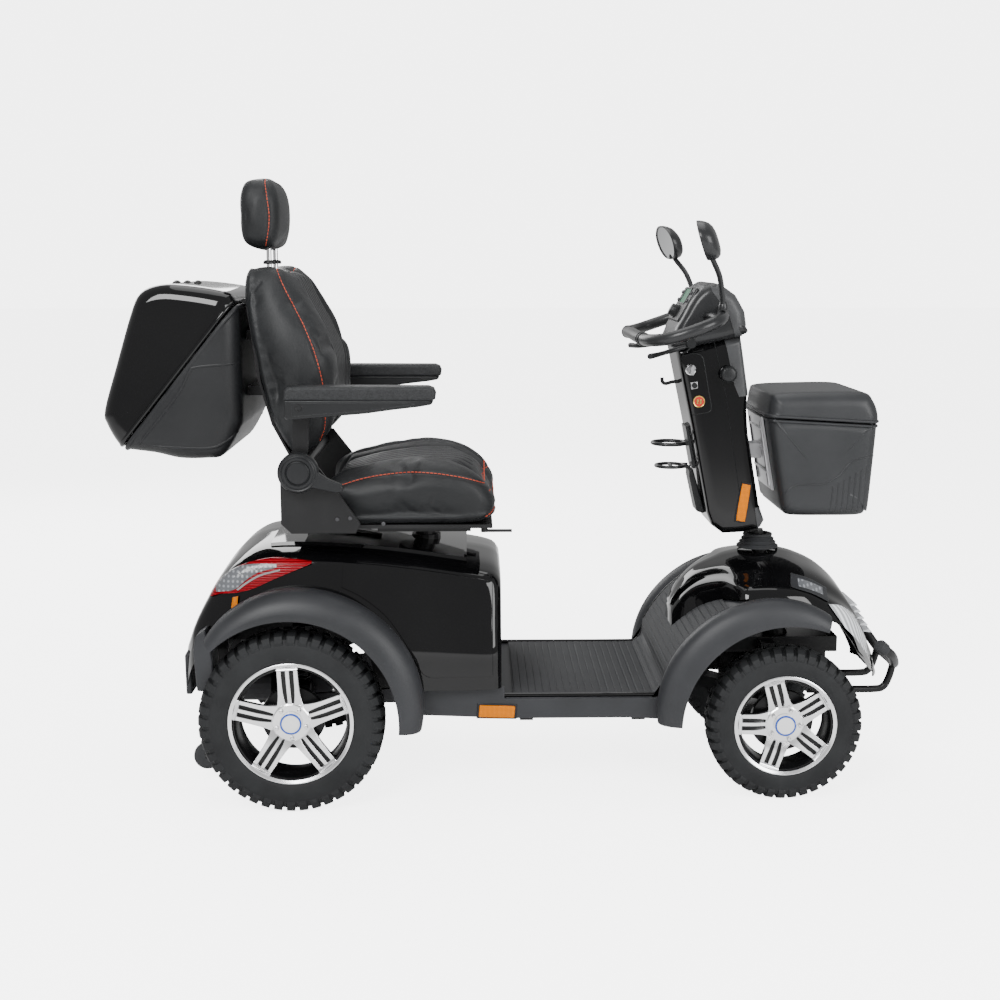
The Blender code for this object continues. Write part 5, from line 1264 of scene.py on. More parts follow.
def make_armrests():
    top = [(-0.5025, 0.915), (-0.5010, 0.936), (-0.494, 0.9435), (-0.400, 0.9445), (-0.198, 0.9435),
        (-0.187, 0.939), (-0.1825, 0.929), (-0.184, 0.9175), (-0.192, 0.9135), (-0.300, 0.9130)]
    low = [(-0.5010, 0.9160), (-0.300, 0.9150), (-0.196, 0.9150), (-0.1885, 0.9125), (-0.1905, 0.9080),
        (-0.215, 0.9030), (-0.330, 0.8870), (-0.495, 0.8735), (-0.5010, 0.8790)]
    panel = [(-0.485, 0.9095), (-0.236, 0.9095), (-0.226, 0.9065), (-0.330, 0.8935), (-0.485, 0.8815)]
    for label, side in SIDES:
        body = "arm_" + label
        middle = side * 0.3107
        pad = pillow_mesh(top, 0.0290, 0.0070, fine=4, rows=6, sharp=True)
        core = pillow_mesh(low, 0.0265, 0.0040, fine=2, rows=4, sharp=True)
        for bm in (pad, core):
            bmesh.ops.translate(bm, verts=bm.verts, vec=(0, middle, 0))
        place("armrest_pad_" + label, pad, "arm", body, "black_plastic", "armrest_" + label, smooth=50)
        place("armrest_core_" + label, core, "black", body, "black_plastic", smooth=30)
        trims = bmesh.new()
        for face in (-1, 1):
            edge = [(x, middle + face * 0.0262, z) for x, z in panel]
            edge += [edge[0]]
            for a, b in zip(edge, edge[1:]):
                tube_mesh([a, b], 0.0010, 6, bm=trims)
        place("armrest_panel_edge_" + label, trims, "arm", body, "black_plastic", smooth=60)
        bolt = turned_mesh([(0.0062, -0.031), (0.0078, -0.031), (0.0078, 0.0272), (0.0070, 0.0278),
            (0.0062, 0.0272), (0.0052, 0.0262)],
                           (-0.470, middle, 0.900), (0, side, 0), 28, closed=True)
        turned_mesh([(0.0010, 0.010), (0.0052, 0.010), (0.0050, 0.0255), (0.0010, 0.0260)],
            (-0.470, middle, 0.900), (0, side, 0), 6, bm=bolt)
        place("armrest_pivot_bolt_" + label, bolt, "steel", body, "frame_steel", smooth=30)


def make_recline_lever():
    at = (-0.479, -0.2835, 0.757)
    profile = [(0.004, 0.000), (0.0400, 0.0), (0.0425, 0.0012), (0.0440, 0.004), (0.0440, 0.0215),
        (0.0425, 0.0245), (0.0390, 0.0268), (0.0365, 0.0258), (0.0345, 0.0268),
               (0.0330, 0.0290), (0.0280, 0.0296), (0.0265, 0.0280), (0.0255, 0.0268), (0.0240, 0.0275),
               (0.0225, 0.0292), (0.010, 0.0300), (0.002, 0.0300)]
    knob = turned_mesh(profile, at, (0, -1, 0), 64)
    place("recline_knob", knob, "box", "recline_latch", "black_plastic", "recline_lever", smooth=35)
    outline = [(-0.468, 0.792), (-0.492, 0.792), (-0.502, 0.737), (-0.470, 0.7290), (-0.440, 0.7235),
        (-0.402, 0.7150), (-0.388, 0.7155), (-0.383, 0.7220), (-0.388, 0.7320), (-0.415, 0.7440),
        (-0.438, 0.7600), (-0.452, 0.7800)]
    path = curve_through(outline, 4, closed=True)
    place("recline_handle", prism_mesh([(p.x, p.y) for p in path], -0.3088, -0.2885), "box",
        "recline_latch", "black_plastic", smooth=30, bevel=0.0030, segments=3)
    bolts = bmesh.new()
    for side in (-1, 1):
        for x, z in ((-0.400, 0.650), (-0.372, 0.652), (-0.300, 0.640)):
            turned_mesh([(0.0008, 0.0), (0.0045, 0.0), (0.0042, 0.0022), (0.0010, 0.0030)],
                (x, side * 0.2700, z), (0, side, 0), 16, bm=bolts)
    place("seat_bracket_bolts", bolts, "cast", "seat", "frame_steel", smooth=30)


# ------------------------------------------------------------ rear box
PARTING_TOP = Vector((-0.6125, 0, 1.1165))
PARTING_LOW = Vector((-0.869, 0, 0.8005))


def make_rear_box():
    along = (PARTING_LOW - PARTING_TOP).normalized()
    to_body = Vector((-along.z, 0, along.x))
    if to_body.x < 0:
        to_body = -to_body

    def taper(x, y, z):
        """The box narrows a little towards its lower rear corner."""
        away = (Vector((x, 0, z)) - PARTING_TOP).dot(to_body)
        return (x, y * (1 - 0.06 * smooth_step(0.0, 0.16, abs(away))), z)

    body = pillow_mesh(REAR_BOX_OUTLINE, 0.234, 0.034, fine=4, shape=taper, rows=20)
    rim = cut_plane(body, PARTING_TOP + to_body * 0.0015, -to_body)
    box = place("rear_box_body", body, "box", "backrest", "black_plastic", "rear_box", smooth=40,
        solid=0.0032)
    lid = pillow_mesh(REAR_BOX_OUTLINE, 0.234, 0.034, fine=4, shape=taper, rows=20)
    seat_line = cut_plane(lid, PARTING_TOP - to_body * 0.0015, to_body)
    place("rear_box_dome", lid, "gloss", "rear_box_cover", "gloss_black", "rear_box_lid", smooth=60,
        solid=0.0032)
    for name, ring, shift, finish, owner in (("rear_box_rim", rim, 0.0055, "box", "backrest"),
            ("rear_box_lid_rim", seat_line, -0.0050, "gloss", "rear_box_cover")):
        path = [p + to_body * shift for p in ring]
        middle = sum(path, Vector()) / len(path)
        path = [p + (p - middle).normalized() * (-0.0008) for p in path]
        place(name, tube_mesh(path, 0.0050, 10, closed=True), finish, owner,
            "gloss_black" if finish == "gloss" else "black_plastic", smooth=60)
    ribs = bmesh.new()
    for side in (-1, 1):
        for line in (
            [(-0.615, 0.985), (-0.700, 0.978), (-0.716, 0.966), (-0.745, 0.915), (-0.830, 0.812)],
            [(-0.616, 0.842), (-0.650, 0.812), (-0.690, 0.800), (-0.800, 0.806)],
        ):
            curve = curve_through(line, 8)
            path = project(box, [(p.x, side * 0.5, p.y) for p in curve], (0, -side, 0))
            tube_mesh([p - n * 0.0004 for p, n in path], 0.0044, 8, bm=ribs)
    place("rear_box_side_ribs", ribs, "box", "backrest", "black_plastic", smooth=60)
    latch = prism_mesh([(-0.868, 0.792), (-0.858, 0.786), (-0.846, 0.790), (-0.868, 0.822), (-0.884, 0.826),
        (-0.886, 0.812)], -0.028, 0.028)
    place("rear_box_latch", latch, "black", "rear_box_cover", "black_plastic", smooth=30, bevel=0.003)
    handle = bmesh.new()
    for row in range(3):
        x = -0.782 + 0.024 * row
        path = curve_through([(x, -0.034, 1.145), (x, -0.030, 1.1520), (x, 0.0, 1.1550), (x, 0.030, 1.1520),
            (x, 0.034, 1.145)], 5)
        tube_mesh(path, 0.0042, 10, bm=handle)
    place("rear_box_handle", handle, "black", "rear_box_cover", "black_plastic", smooth=50)
    hinge = bmesh.new()
    for y in (-0.120, 0.0, 0.120):
        rod_mesh((-0.6065, y - 0.030, 1.1165), (-0.6065, y + 0.030, 1.1165), 0.0052, 20, bm=hinge)
    place("rear_box_hinges", hinge, "steel", "backrest", "frame_steel", smooth=40)


# ------------------------------------------------------------ tiller
def strip_of(name, outline, half, rounding, grow, window, low, high, finish, body, slot):
    """A band that follows a rounded housing: its grown shape, kept only inside a prism."""
    obj = place(name, pillow_mesh(outline, half, rounding, fine=4, grow=grow, rows=12, sharp=True), finish,
        body, slot, smooth=40)
    carve(obj, [prism_mesh(window, low, high)], "INTERSECT")
    obj.data.shade_smooth()
    obj.data.set_sharp_from_angle(angle=math.radians(40))
    return obj


TILT_PIVOT = Vector((0.530, 0.0, 0.625))


def make_tiller():
    shell = place("tiller_cover", pillow_mesh(TILLER_OUTLINE, 0.088, 0.020, fine=5, rows=12, sharp=True),
        "gloss", "tiller", "gloss_black", "tiller_shroud", smooth=40)
    stem_space = [Vector((0.505, 0, 0.545)), Vector((0.545, 0, 0.640))]
    for tilt in (0, 6, 12):
        turn = Matrix.Rotation(math.radians(-tilt), 3, "Y")
        low, high = (TILT_PIVOT + turn @ (point - TILT_PIVOT) for point in stem_space)
        carve(shell, [rod_mesh(low, high, 0.034, 40)])
    shell.data.shade_smooth()
    shell.data.set_sharp_from_angle(angle=math.radians(40))
    strip_of("tiller_front_spine", TILLER_OUTLINE, 0.088, 0.020, 0.0015,
        [(0.463, 1.040), (0.540, 1.050), (0.545, 0.902), (0.5020, 0.897), (0.4900, 0.925)], -0.2, 0.2,
        "spine", "tiller", "grey_plastic")
    strip_of("tiller_foot_cap", TILLER_OUTLINE, 0.088, 0.020, 0.0015,
        [(0.545, 0.640), (0.580, 0.645), (0.585, 0.598), (0.553, 0.592)], -0.2, 0.2, "spine", "tiller",
        "grey_plastic")
    lines = bmesh.new()
    for side in (-1, 1):
        at = side * 0.0880
        frame_line = curve_through([(0.3705, 0.990), (0.398, 0.9960), (0.4150, 0.9880), (0.4215, 0.966),
            (0.4330, 0.905), (0.4390, 0.872), (0.4310, 0.862), (0.3960, 0.8560)], 6)
        tube_mesh([(p.x, at, p.y) for p in frame_line], 0.0013, 8, bm=lines)
        tube_mesh([(0.4420, at, 1.022), (0.4720, at, 0.900), (0.5150, at, 0.640)], 0.0008, 6, bm=lines)
    place("tiller_seam_lines", lines, "black", "tiller", "gloss_black", smooth=60)
    for label, side in SIDES:
        outline = [(0.5030, 0.608), (0.5200, 0.6055), (0.5250, 0.612), (0.5370, 0.690), (0.5320, 0.6975),
            (0.5180, 0.7000), (0.5120, 0.694), (0.4990, 0.616)]
        slim = [(p[0] * 0.78 + 0.518 * 0.22, p[1] * 0.92 + 0.652 * 0.08) for p in outline]
        soft = [(p.x, p.y) for p in curve_through(outline, 4, closed=True)]
        place("tiller_reflector_base_" + label, prism_mesh(soft, side * 0.0850, side * 0.0905), "black",
            "tiller", "black_plastic", smooth=30, bevel=0.001, segments=2)
        soft = [(p.x, p.y) for p in curve_through(slim, 4, closed=True)]
        place("tiller_reflector_" + label, prism_mesh(soft, side * 0.0870, side * 0.0930), "amber",
            "tiller", "red_lens", smooth=30, bevel=0.0015, segments=3)
    make_side_controls()
    rear = prism_mesh([(0.4090, 0.724), (0.4010, 0.722), (0.4010, 0.705), (0.4200, 0.622), (0.4330, 0.618),
        (0.4400, 0.619)], -0.032, 0.032)
    place("tiller_rear_housing", rear, "black", "tiller", "black_plastic", smooth=30, bevel=0.003)
    hook = tube_mesh(curve_through([(0.382, 0, 0.925), (0.362, 0, 0.924), (0.346, 0, 0.920),
        (0.338, 0, 0.924), (0.3365, 0, 0.934)], 6), 0.0042, 12)
    place("bag_hook", hook, "black", "tiller", "black_plastic", smooth=60)


def make_side_controls():
    face = -0.0880
    key_at = (0.390, face - 0.0006, 0.959)
    lock = turned_mesh([(0.0010, 0.0), (0.0118, 0.0), (0.0125, 0.0010), (0.0120, 0.0030), (0.0100, 0.0042),
        (0.0090, 0.0034), (0.0010, 0.0034)], (0.390, face + 0.0005, 0.959), (0, -1, 0), 40)
    place("key_switch_ring", lock, "chrome", "tiller", "chrome_metal", smooth=35)
    barrel = turned_mesh([(0.0010, 0.0030), (0.0080, 0.0030), (0.0080, 0.0095), (0.0070, 0.0105),
        (0.0010, 0.0105)], key_at, (0, -1, 0), 32)
    grip = curve_through([(0.3868, 0.950), (0.3932, 0.950), (0.3945, 0.959), (0.3932, 0.968),
        (0.3868, 0.968), (0.3855, 0.959)], 3, closed=True)
    loft_mesh([[(p.x if abs(y) < 0.11 else 0.390 + (p.x - 0.390) * 0.85, y,
        p.y) for p in grip] for y in (-0.0975, -0.1075, -0.1185, -0.1198)], bm=barrel)
    place("ignition_key_grip", barrel, "silver", "key", "chrome_metal", "ignition_key", smooth=40)
    square = curve_through([(0.3920, 0.9140), (0.4075, 0.9165), (0.4060, 0.9325), (0.3900, 0.9300)], 1,
        closed=True)
    place("mode_switch_plate", prism_mesh([(p.x, p.y) for p in square], face, face - 0.0030), "silver",
        "tiller", "chrome_metal", smooth=30, bevel=0.0012, segments=2)
    dial = turned_mesh([(0.0010, 0.0), (0.0062, 0.0), (0.0060, 0.0060), (0.0050, 0.0068), (0.0010, 0.0068)],
        (0.3990, face - 0.0028, 0.9233), (0, -1, 0), 32)
    place("mode_switch_button", dial, "black", "tiller", "black_plastic", smooth=35)
    at = (0.4105, face + 0.0003, 0.8865)
    ring = turned_mesh([(0.0108, 0.0), (0.0140, 0.0), (0.0143, 0.0020), (0.0130, 0.0036), (0.0112, 0.0030)],
        at, (0, -1, 0), 48, closed=True)
    place("charge_gauge_ring", ring, "brass", "tiller", "chrome_metal", smooth=35)
    place("charge_gauge_face", turned_mesh([(0.0008, 0.0), (0.0112, 0.0), (0.0112, 0.0018),
        (0.0008, 0.0020)], at, (0, -1, 0), 48), "red_mark", "tiller", "black_plastic", smooth=35)
    sockets = bmesh.new()
    for shift in (-0.0036, 0.0036):
        box_mesh((0.4105 + shift - 0.0022, face - 0.0036, 0.8865 - 0.0055),
            (0.4105 + shift + 0.0022, face - 0.0018, 0.8865 + 0.0055), bm=sockets)
    place("charge_gauge_bars", sockets, "brass", "tiller", "chrome_metal", smooth=30, bevel=0.0005,
        segments=2)
    collar = turned_mesh([(0.008, -0.0040), (0.0160, -0.0040), (0.0175, 0.0), (0.0165, 0.0030),
        (0.008, 0.0030)], (0.4740, face, 0.9500), (0, -1, 0), 40, closed=True)
    place("tilt_lock_collar", collar, "chrome", "tiller", "chrome_metal", smooth=35)
    knob = bmesh.new()
    loops = []
    for along, size in ((0.0036, 0.0120), (0.0060, 0.0175), (0.0100, 0.0190), (0.0190, 0.0190),
            (0.0240, 0.0172), (0.0262, 0.0120), (0.0266, 0.0030)):
        ring = []
        for k in range(72):
            angle = 2 * math.pi * k / 72
            wave = 1 - 0.055 * max(0.0, math.cos(9 * angle)) ** 2
            ring.append((0.4740 + size * wave * math.cos(angle), face - 0.0006 - along,
                0.9500 + size * wave * math.sin(angle)))
        loops.append(ring)
    loft_mesh(loops, bm=knob)
    place("tilt_lock_grip", knob, "black", "tilt_lock", "black_plastic", "tilt_lock_knob", smooth=50)


def make_console():
    place("console_housing", pillow_mesh(CONSOLE_OUTLINE, 0.106, 0.026, fine=5, rows=14), "grip", "tiller",
        "grey_plastic", "console", smooth=50)
    origin = Vector((0.3835, 0, 1.105))
    up = (Vector((0.395, 0, 1.125)) - Vector((0.372, 0, 1.085))).normalized()
    out = Vector((-up.z, 0, up.x))

    def on_dash(y, rise, lift):
        return origin + up * rise + out * lift + Vector((0, y, 0))

    def dash_box(bm, y0, y1, r0, r1, lift0, lift1):
        corners = [(y0, r0), (y1, r0), (y1, r1), (y0, r1)]
        loft_mesh([[on_dash(y, r, lift0) for y, r in corners], [on_dash(y, r, lift1) for y, r in corners]],
            bm=bm)

    plate = bmesh.new()
    dash_box(plate, -0.082, 0.082, -0.046, 0.042, -0.010, 0.0045)
    place("dash_plate", plate, "black", "tiller", "black_plastic", smooth=30, bevel=0.005, segments=4)
    screen = bmesh.new()
    dash_box(screen, -0.036, 0.036, 0.000, 0.036, 0.0035, 0.0052)
    place("dash_screen", screen, "green", "tiller", "black_plastic", smooth=30, bevel=0.0012, segments=2)
    bezel = bmesh.new()
    for y0, y1, r0, r1 in ((-0.040, 0.040, 0.036, 0.0395), (-0.040, 0.040, -0.0035, 0.0),
            (-0.040, -0.036, -0.0035, 0.0395), (0.036, 0.040, -0.0035, 0.0395)):
        dash_box(bezel, y0, y1, r0, r1, 0.0035, 0.0065)
    place("dash_screen_bezel", bezel, "spine", "tiller", "grey_plastic", smooth=30, bevel=0.0008,
        segments=2)
    buttons = bmesh.new()
    for y in (-0.067, -0.052, 0.052, 0.067):
        for rise in (0.006, 0.026):
            turned_mesh([(0.0008, 0.0), (0.0042, 0.0), (0.0040, 0.0034), (0.0032, 0.0044),
                (0.0008, 0.0046)], on_dash(y, rise, 0.0040), out, 28, bm=buttons)
    place("dash_buttons", buttons, "grey", "tiller", "black_plastic", smooth=40)
    dial = bmesh.new()
    loops = []
    for lift, size in ((0.0040, 0.0175), (0.0075, 0.0172), (0.0080, 0.0150), (0.0200, 0.0136),
            (0.0215, 0.0122), (0.0218, 0.0030)):
        ring = []
        for k in range(96):
            angle = 2 * math.pi * k / 96
            wave = 1 - 0.04 * (0.5 + 0.5 * math.cos(24 * angle)) * (1 if lift > 0.0078 else 0)
            ring.append(on_dash(size * wave * math.cos(angle), -0.024 + size * wave * math.sin(angle),
                lift))
        loops.append(ring)
    loft_mesh(loops, bm=dial)
    place("speed_dial", dial, "black", "tiller", "black_plastic", smooth=50)
    marker = prism_mesh([(0.5040, 1.0965), (0.5085, 1.0990), (0.5030, 1.1095), (0.4985, 1.1070)], -0.010,
        0.010)
    place("console_front_marker", marker, "red_mark", "tiller", "red_lens", smooth=30, bevel=0.001,
        segments=2)
    strip_of("console_front_band", CONSOLE_OUTLINE, 0.106, 0.026, 0.0014,
        [(0.498, 1.000), (0.540, 1.010), (0.540, 1.160), (0.425, 1.160), (0.432, 1.135), (0.470, 1.085)],
        -0.2, 0.2, "spine", "tiller", "grey_plastic")


HANDLE_HALF = [(0.462, 0, 1.093), (0.456, -0.100, 1.091), (0.440, -0.200, 1.082), (0.413, -0.246, 1.071),
    (0.361, -0.258, 1.052), (0.312, -0.242, 1.037),
               (0.279, -0.190, 1.032), (0.268, -0.100, 1.034), (0.266, 0, 1.036)]


def make_handlebar():
    left = [(x, -y, z) for x, y, z in reversed(HANDLE_HALF[1:-1])]
    path = curve_through(HANDLE_HALF + left, 12, closed=True)
    bar = tube_mesh(path, lambda t: 0.0136, 24, closed=True)
    place("handlebar_loop", bar, "grip", "tiller", "black_plastic", "handlebar", smooth=60)
    for label, side in SIDES:
        span = [p for p in path if p.y * side > 0.120 and p.x < 0.420]
        span.sort(key=lambda p: math.atan2(p.y * side - 0.15, p.x - 0.36))
        cuffs = bmesh.new()
        for t in (0.0, 1.0):
            i = int(t * (len(span) - 1))
            a = span[i]
            b = span[i + 1 if i == 0 else i - 1]
            along = (b - a).normalized()
            turned_mesh([(0.0130, 0.0), (0.0150, 0.0), (0.0156, 0.0015), (0.0156, 0.0060), (0.0150, 0.0075),
                (0.0130, 0.0075)], a, along, 28, closed=True, bm=cuffs)
        place("handle_grip_cuffs_" + label, cuffs, "black", "tiller", "black_plastic", smooth=40)
        arm = tube_mesh(curve_through([(0.420, side * 0.085, 1.075), (0.424, side * 0.150, 1.082),
            (0.430, side * 0.205, 1.078)], 6), 0.0085, 14)
        place("handle_arm_" + label, arm, "black", "tiller", "black_plastic", smooth=60)
        lever = [(0.383, side * 0.114, 1.016), (0.345, side * 0.128, 1.006), (0.305, side * 0.160, 0.998),
            (0.283, side * 0.200, 0.997)]
        name, owner, node = ("throttle_blade", "throttle",
            "throttle_lever") if side < 0 else ("brake_blade", "brake", "brake_lever")
        blade = tube_mesh(curve_through(lever, 8), lambda t: 0.0052 + 0.0012 * smooth_step(0.5, 1.0, t), 16)
        turned_mesh([(0.0010, -0.0090), (0.0102, -0.0090), (0.0110, -0.0080), (0.0110, 0.0080),
            (0.0102, 0.0090), (0.0010, 0.0090)], (0.385, side * 0.118, 1.020), (0, 1, 0), 32, bm=blade)
        place(name, blade, "black", owner, "black_plastic", node, smooth=45)
        cable = curve_through([(0.392, side * 0.095, 1.016), (0.380, side * 0.099, 1.003),
            (0.372, side * 0.085, 0.996), (0.368, side * 0.060, 0.992)], 8)
        place("control_cable_" + label, tube_mesh(cable, 0.0024, 10), "black", "tiller", "black_plastic",
            smooth=60)


MIRROR_TOE = math.radians(13)    # each glass looks in towards the rider
MIRROR_LEAN = 0.30               # how far the head leans back, per unit of height


def make_mirrors():
    for label, side in SIDES:
        body = "mirror_unit_" + label
        base = (0.441, side * 0.200, 1.0965)
        stalk = [(0.441, side * 0.200, 1.104), (0.4375, side * 0.209, 1.125), (0.424, side * 0.245, 1.170),
            (0.403, side * 0.284, 1.204), (0.3950, side * 0.293, 1.222)]
        mount = tube_mesh(curve_through(stalk, 8), lambda t: 0.0063 - 0.0004 * t, 16)
        turned_mesh([(0.001, 0.0005), (0.0095, 0.0005), (0.0100, 0.003), (0.0100, 0.010), (0.0085, 0.014),
            (0.0070, 0.020), (0.001, 0.020)], base, (0, 0, 1), 32, bm=mount)
        turned_mesh([(0.001, -0.006), (0.0085, -0.005), (0.0092, 0.0), (0.0080, 0.006), (0.001, 0.008)],
            (0.3965, side * 0.2920, 1.2120), (-0.15, side * 0.1, 1), 24, bm=mount)
        place("mirror_stalk_" + label, mount, "grip", body, "black_plastic", "mirror_" + label, smooth=50)

        turn = Vector((math.cos(MIRROR_TOE), math.sin(MIRROR_TOE)))

        def rim(part, depth):
            loop = []
            for k in range(64):
                angle = 2 * math.pi * k / 64
                c, s = math.cos(angle), math.sin(angle)
                across = 0.056 * math.copysign(abs(c) ** 0.80,
                    c) * (1 - 0.08 * max(0.0, -s) - 0.24 * max(0.0, s) ** 2)
                up = 0.0415 * math.copysign(abs(s) ** 0.86, s)
                back, out = depth - MIRROR_LEAN * up * part, side * 0.004 * s + across * part
                loop.append((0.392 + back * turn.x - side * out * turn.y,
                    side * 0.300 + out * turn.x + side * back * turn.y, 1.246 + up * part))
            return loop

        shell = loft_mesh([rim(0.90, -0.0125), rim(0.94, -0.0155), rim(0.985, -0.0160), rim(1.0, -0.0130),
            rim(0.995, -0.0080), rim(0.96, 0.0), rim(0.88, 0.0080),
                           rim(0.72, 0.0140), rim(0.48, 0.0172), rim(0.22, 0.0182)])
        place("mirror_shell_" + label, shell, "grip", body, "black_plastic", smooth=50)
        glass = loft_mesh([rim(0.900, -0.0120), rim(0.900, -0.0132), rim(0.60, -0.0140),
            rim(0.25, -0.0144)])
        place("mirror_glass_" + label, glass, "mirror", body, "chrome_metal", smooth=50)


def make_front_box():
    def taper(x, y, z):
        """The basket narrows a little towards its foot."""
        return (x, y * (1 - 0.035 * (1 - smooth_step(0.62, 0.86, z))), z)

    rim_at, rim_end = Vector((0.5615, 0, 0.853)), Vector((0.8085, 0, 0.8385))
    along = (rim_end - rim_at).normalized()
    up = Vector((-along.z, 0, along.x))
    body = pillow_mesh(FRONT_BOX_OUTLINE, 0.1535, 0.030, fine=5, shape=taper, rows=14)
    ring = cut_plane(body, rim_at, up)
    box = place("front_box_body", body, "basket", "tiller", "black_plastic", "front_box", smooth=40,
        solid=0.0030)
    place("front_box_rim", tube_mesh([p - up * 0.0032 for p in ring], 0.0032, 10, closed=True), "basket",
        "tiller", "black_plastic", smooth=60)
    lid = pillow_mesh(FRONT_LID_OUTLINE, 0.1560, 0.032, fine=5, rows=14)
    edge = cut_plane(lid, rim_at + up * 0.0035, -up)
    place("front_box_cover", lid, "basket", "front_box_cover", "black_plastic", "front_box_lid", smooth=60,
        solid=0.0030)
    place("front_box_cover_lip", tube_mesh([p + up * 0.0035 for p in edge], 0.0034, 10, closed=True),
        "basket", "front_box_cover", "black_plastic", smooth=60)
    welt = bmesh.new()
    for side in (-1, 1):
        curve = curve_through([(0.598, 0.680), (0.620, 0.700), (0.650, 0.704), (0.690, 0.706),
            (0.722, 0.724), (0.745, 0.752), (0.772, 0.764), (0.802, 0.768)], 8)
        path = project(box, [(p.x, side * 0.5, p.y) for p in curve], (0, -side, 0))
        tube_mesh([p - n * 0.0010 for p, n in path], 0.0022, 8, bm=welt)
        for k in range(7):
            x = 0.706 + 0.0125 * k
            top = 0.700 + 0.0075 * k
            path = project(box, [(x + 0.0005 * i, side * 0.5,
                0.640 + (top - 0.640) * i / 8) for i in range(9)], (0, -side, 0))
            tube_mesh([p - n * 0.0008 for p, n in path], 0.0019, 8, bm=welt)
    place("front_box_embossing", welt, "basket", "tiller", "black_plastic", smooth=60)
    hinge = bmesh.new()
    for y in (-0.095, 0.095):
        rod_mesh((0.8095, y - 0.018, 0.8400), (0.8095, y + 0.018, 0.8400), 0.0038, 18, bm=hinge)
    place("front_box_hinges", hinge, "basket", "tiller", "black_plastic", smooth=40)


def make_bracket():
    """Bright fixings on the box bracket, and the cup holder's rings."""
    rods = bmesh.new()
    for y in (-0.066, 0.066):
        for low, high in (((0.5830, y, 0.690), (0.5588, y, 0.838)),):
            rod_mesh(low, high, 0.0048, 16, bm=rods)
    for z, x in ((0.822, 0.5590), (0.775, 0.5665), (0.722, 0.5755)):
        rod_mesh((x, -0.074, z), (x, 0.074, z), 0.0030, 14, bm=rods)
    place("bracket_rods", rods, "silver", "tiller", "chrome_metal", smooth=40)
    holder = bmesh.new()
    for (cx, cz), radius, thick in (((0.356, 0.781), 0.039, 0.0045), ((0.360, 0.727), 0.034, 0.0040)):
        ring = [(cx + radius * math.cos(2 * math.pi * k / 48), radius * math.sin(2 * math.pi * k / 48),
            cz) for k in range(48)]
        tube_mesh(ring, thick, 14, closed=True, bm=holder)
        for y in (-0.020, 0.020):
            rod_mesh((cx + radius * 0.80, y, cz), (cx + radius + 0.010, y, cz), thick, 12, bm=holder)
    rod_mesh((0.360, -0.034, 0.727), (0.360, 0.034, 0.727), 0.0038, 12, bm=holder)
    prism_mesh([(0.3960, 0.8235), (0.3890, 0.8235), (0.4085, 0.7245), (0.4155, 0.7245)], -0.0335, 0.0335,
        bm=holder)
    place("cup_holder_frame", holder, "grip", "tiller", "black_plastic", "cup_holder", smooth=40)
    boot = [(0.0232, 0.0), (0.0480, 0.0), (0.0490, 0.0012), (0.0490, 0.0040), (0.0470, 0.0055),
        (0.0415, 0.0068), (0.0405, 0.0085), (0.0430, 0.0110), (0.0435, 0.0125),
            (0.0420, 0.0140), (0.0368, 0.0158), (0.0362, 0.0172), (0.0385, 0.0195), (0.0388, 0.0208),
            (0.0372, 0.0222), (0.0328, 0.0240), (0.0324, 0.0252), (0.0345, 0.0276),
            (0.0348, 0.0305), (0.0335, 0.0328), (0.0232, 0.0330)]
    place("tiller_boot_bellows", turned_mesh(boot, (0.571, 0, 0.5325), (0, 0, 1), 64, closed=True), "mat",
        "chassis", "mat_rubber", "tiller_boot", smooth=50)



make_seat()
make_back()
make_headrest()
make_armrests()
make_recline_lever()
make_rear_box()
make_tiller()
make_console()
make_handlebar()
make_mirrors()
make_front_box()
make_bracket()


# ------------------------------------------------------------ stage, light and camera
BACKDROP_LIGHT, BACKDROP_SEEN = 0.56, 5.0   # what it lights the object with, and what the camera sees
FLOOR_GLOW_SEEN = 4.2                       # makes the floor as pale as the backdrop, to the camera only


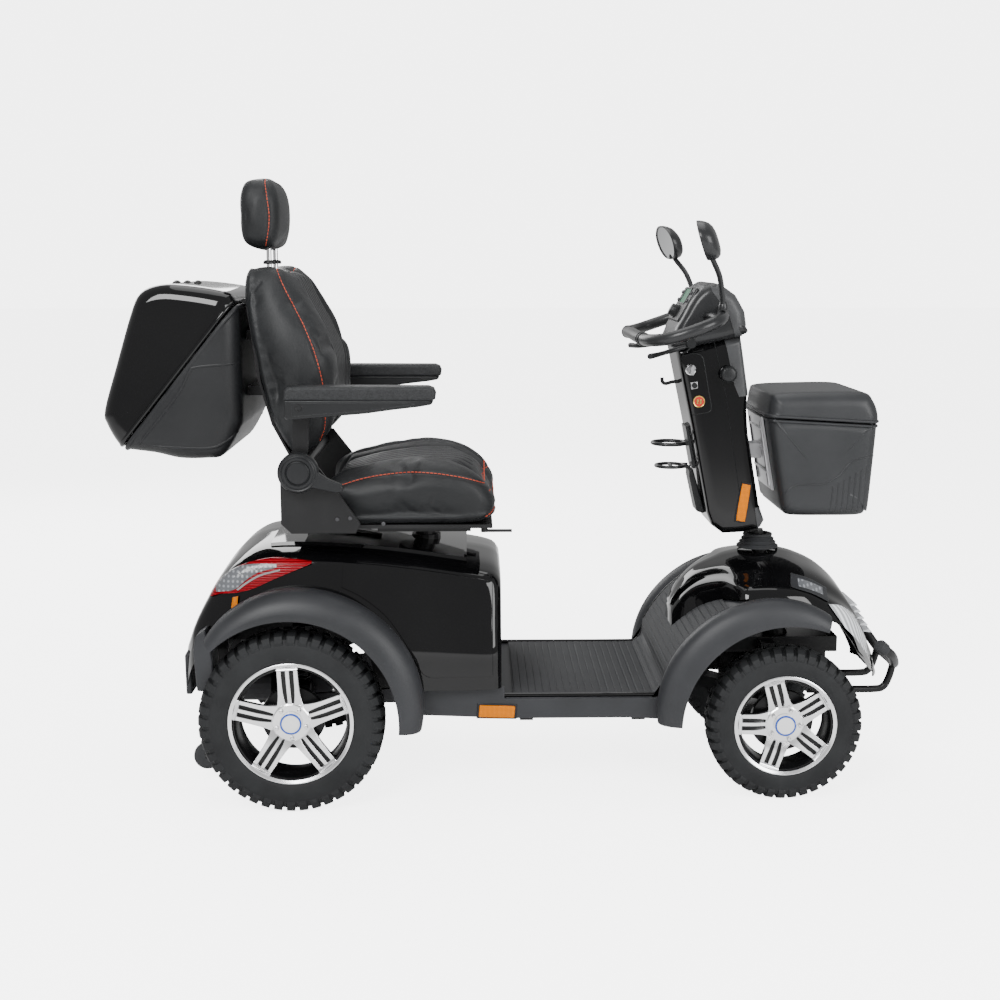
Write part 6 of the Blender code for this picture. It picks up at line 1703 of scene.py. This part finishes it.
def make_stage():
    bm = bmesh.new()
    bmesh.ops.create_grid(bm, x_segments=1, y_segments=1, size=30)
    mesh = bpy.data.meshes.new("floor")
    bm.to_mesh(mesh)
    bm.free()
    made, _, shader = nodes_of("studio_floor")
    shader.inputs["Base Color"].default_value = (0.93, 0.93, 0.93, 1)
    shader.inputs["Roughness"].default_value = 0.9
    shader.inputs["Emission Color"].default_value = (1, 1, 1, 1)
    seen = made.node_tree.nodes.new("ShaderNodeLightPath")
    glow = made.node_tree.nodes.new("ShaderNodeMapRange")
    glow.inputs["To Min"].default_value = 0.0
    glow.inputs["To Max"].default_value = FLOOR_GLOW_SEEN
    made.node_tree.links.new(seen.outputs["Is Camera Ray"], glow.inputs["Value"])
    made.node_tree.links.new(glow.outputs["Result"], shader.inputs["Emission Strength"])
    mesh.materials.append(made)
    floor = bpy.data.objects.new("studio_floor", mesh)
    floor.location = (0, 0, -0.0005)
    bpy.context.scene.collection.objects.link(floor)
    world = bpy.data.worlds.new("studio")
    world.use_nodes = True
    world.node_tree.nodes["Background"].inputs["Color"].default_value = (1, 1, 1, 1)
    backdrop = world.node_tree.nodes["Background"]
    rays = world.node_tree.nodes.new("ShaderNodeLightPath")
    strength = world.node_tree.nodes.new("ShaderNodeMapRange")
    strength.inputs["To Min"].default_value = BACKDROP_LIGHT
    strength.inputs["To Max"].default_value = BACKDROP_SEEN
    world.node_tree.links.new(rays.outputs["Is Camera Ray"], strength.inputs["Value"])
    world.node_tree.links.new(strength.outputs["Result"], backdrop.inputs["Strength"])
    bpy.context.scene.world = world
    for name, at, size, power, aim in (
        ("key_light", (-1.8, -3.8, 3.4), 2.0, 235, (0, 0, 0.6)),
        ("fill_light", (3.0, -3.0, 2.0), 2.2, 140, (0.2, 0, 0.5)),
        ("top_light", (0.0, 0.8, 4.2), 3.0, 70, (0, 0, 0.5)),
        ("back_light", (-2.0, 3.4, 2.6), 2.4, 90, (0, 0, 0.6)),
    ):
        data = bpy.data.lights.new(name, "AREA")
        data.size = size
        data.energy = power
        lamp = bpy.data.objects.new(name, data)
        lamp.location = at
        lamp.rotation_euler = (Vector(aim) - Vector(at)).to_track_quat("-Z", "Y").to_euler()
        bpy.context.scene.collection.objects.link(lamp)


def make_camera():
    data = bpy.data.cameras.new("camera")
    data.sensor_width = 36
    data.lens = 52.2
    camera = bpy.data.objects.new("camera", data)
    camera.location = (-0.11, -3.373, 1.218)
    camera.rotation_euler = (math.radians(80.37), 0, math.radians(-1.17))
    bpy.context.scene.collection.objects.link(camera)
    bpy.context.scene.camera = camera


make_stage()
make_camera()
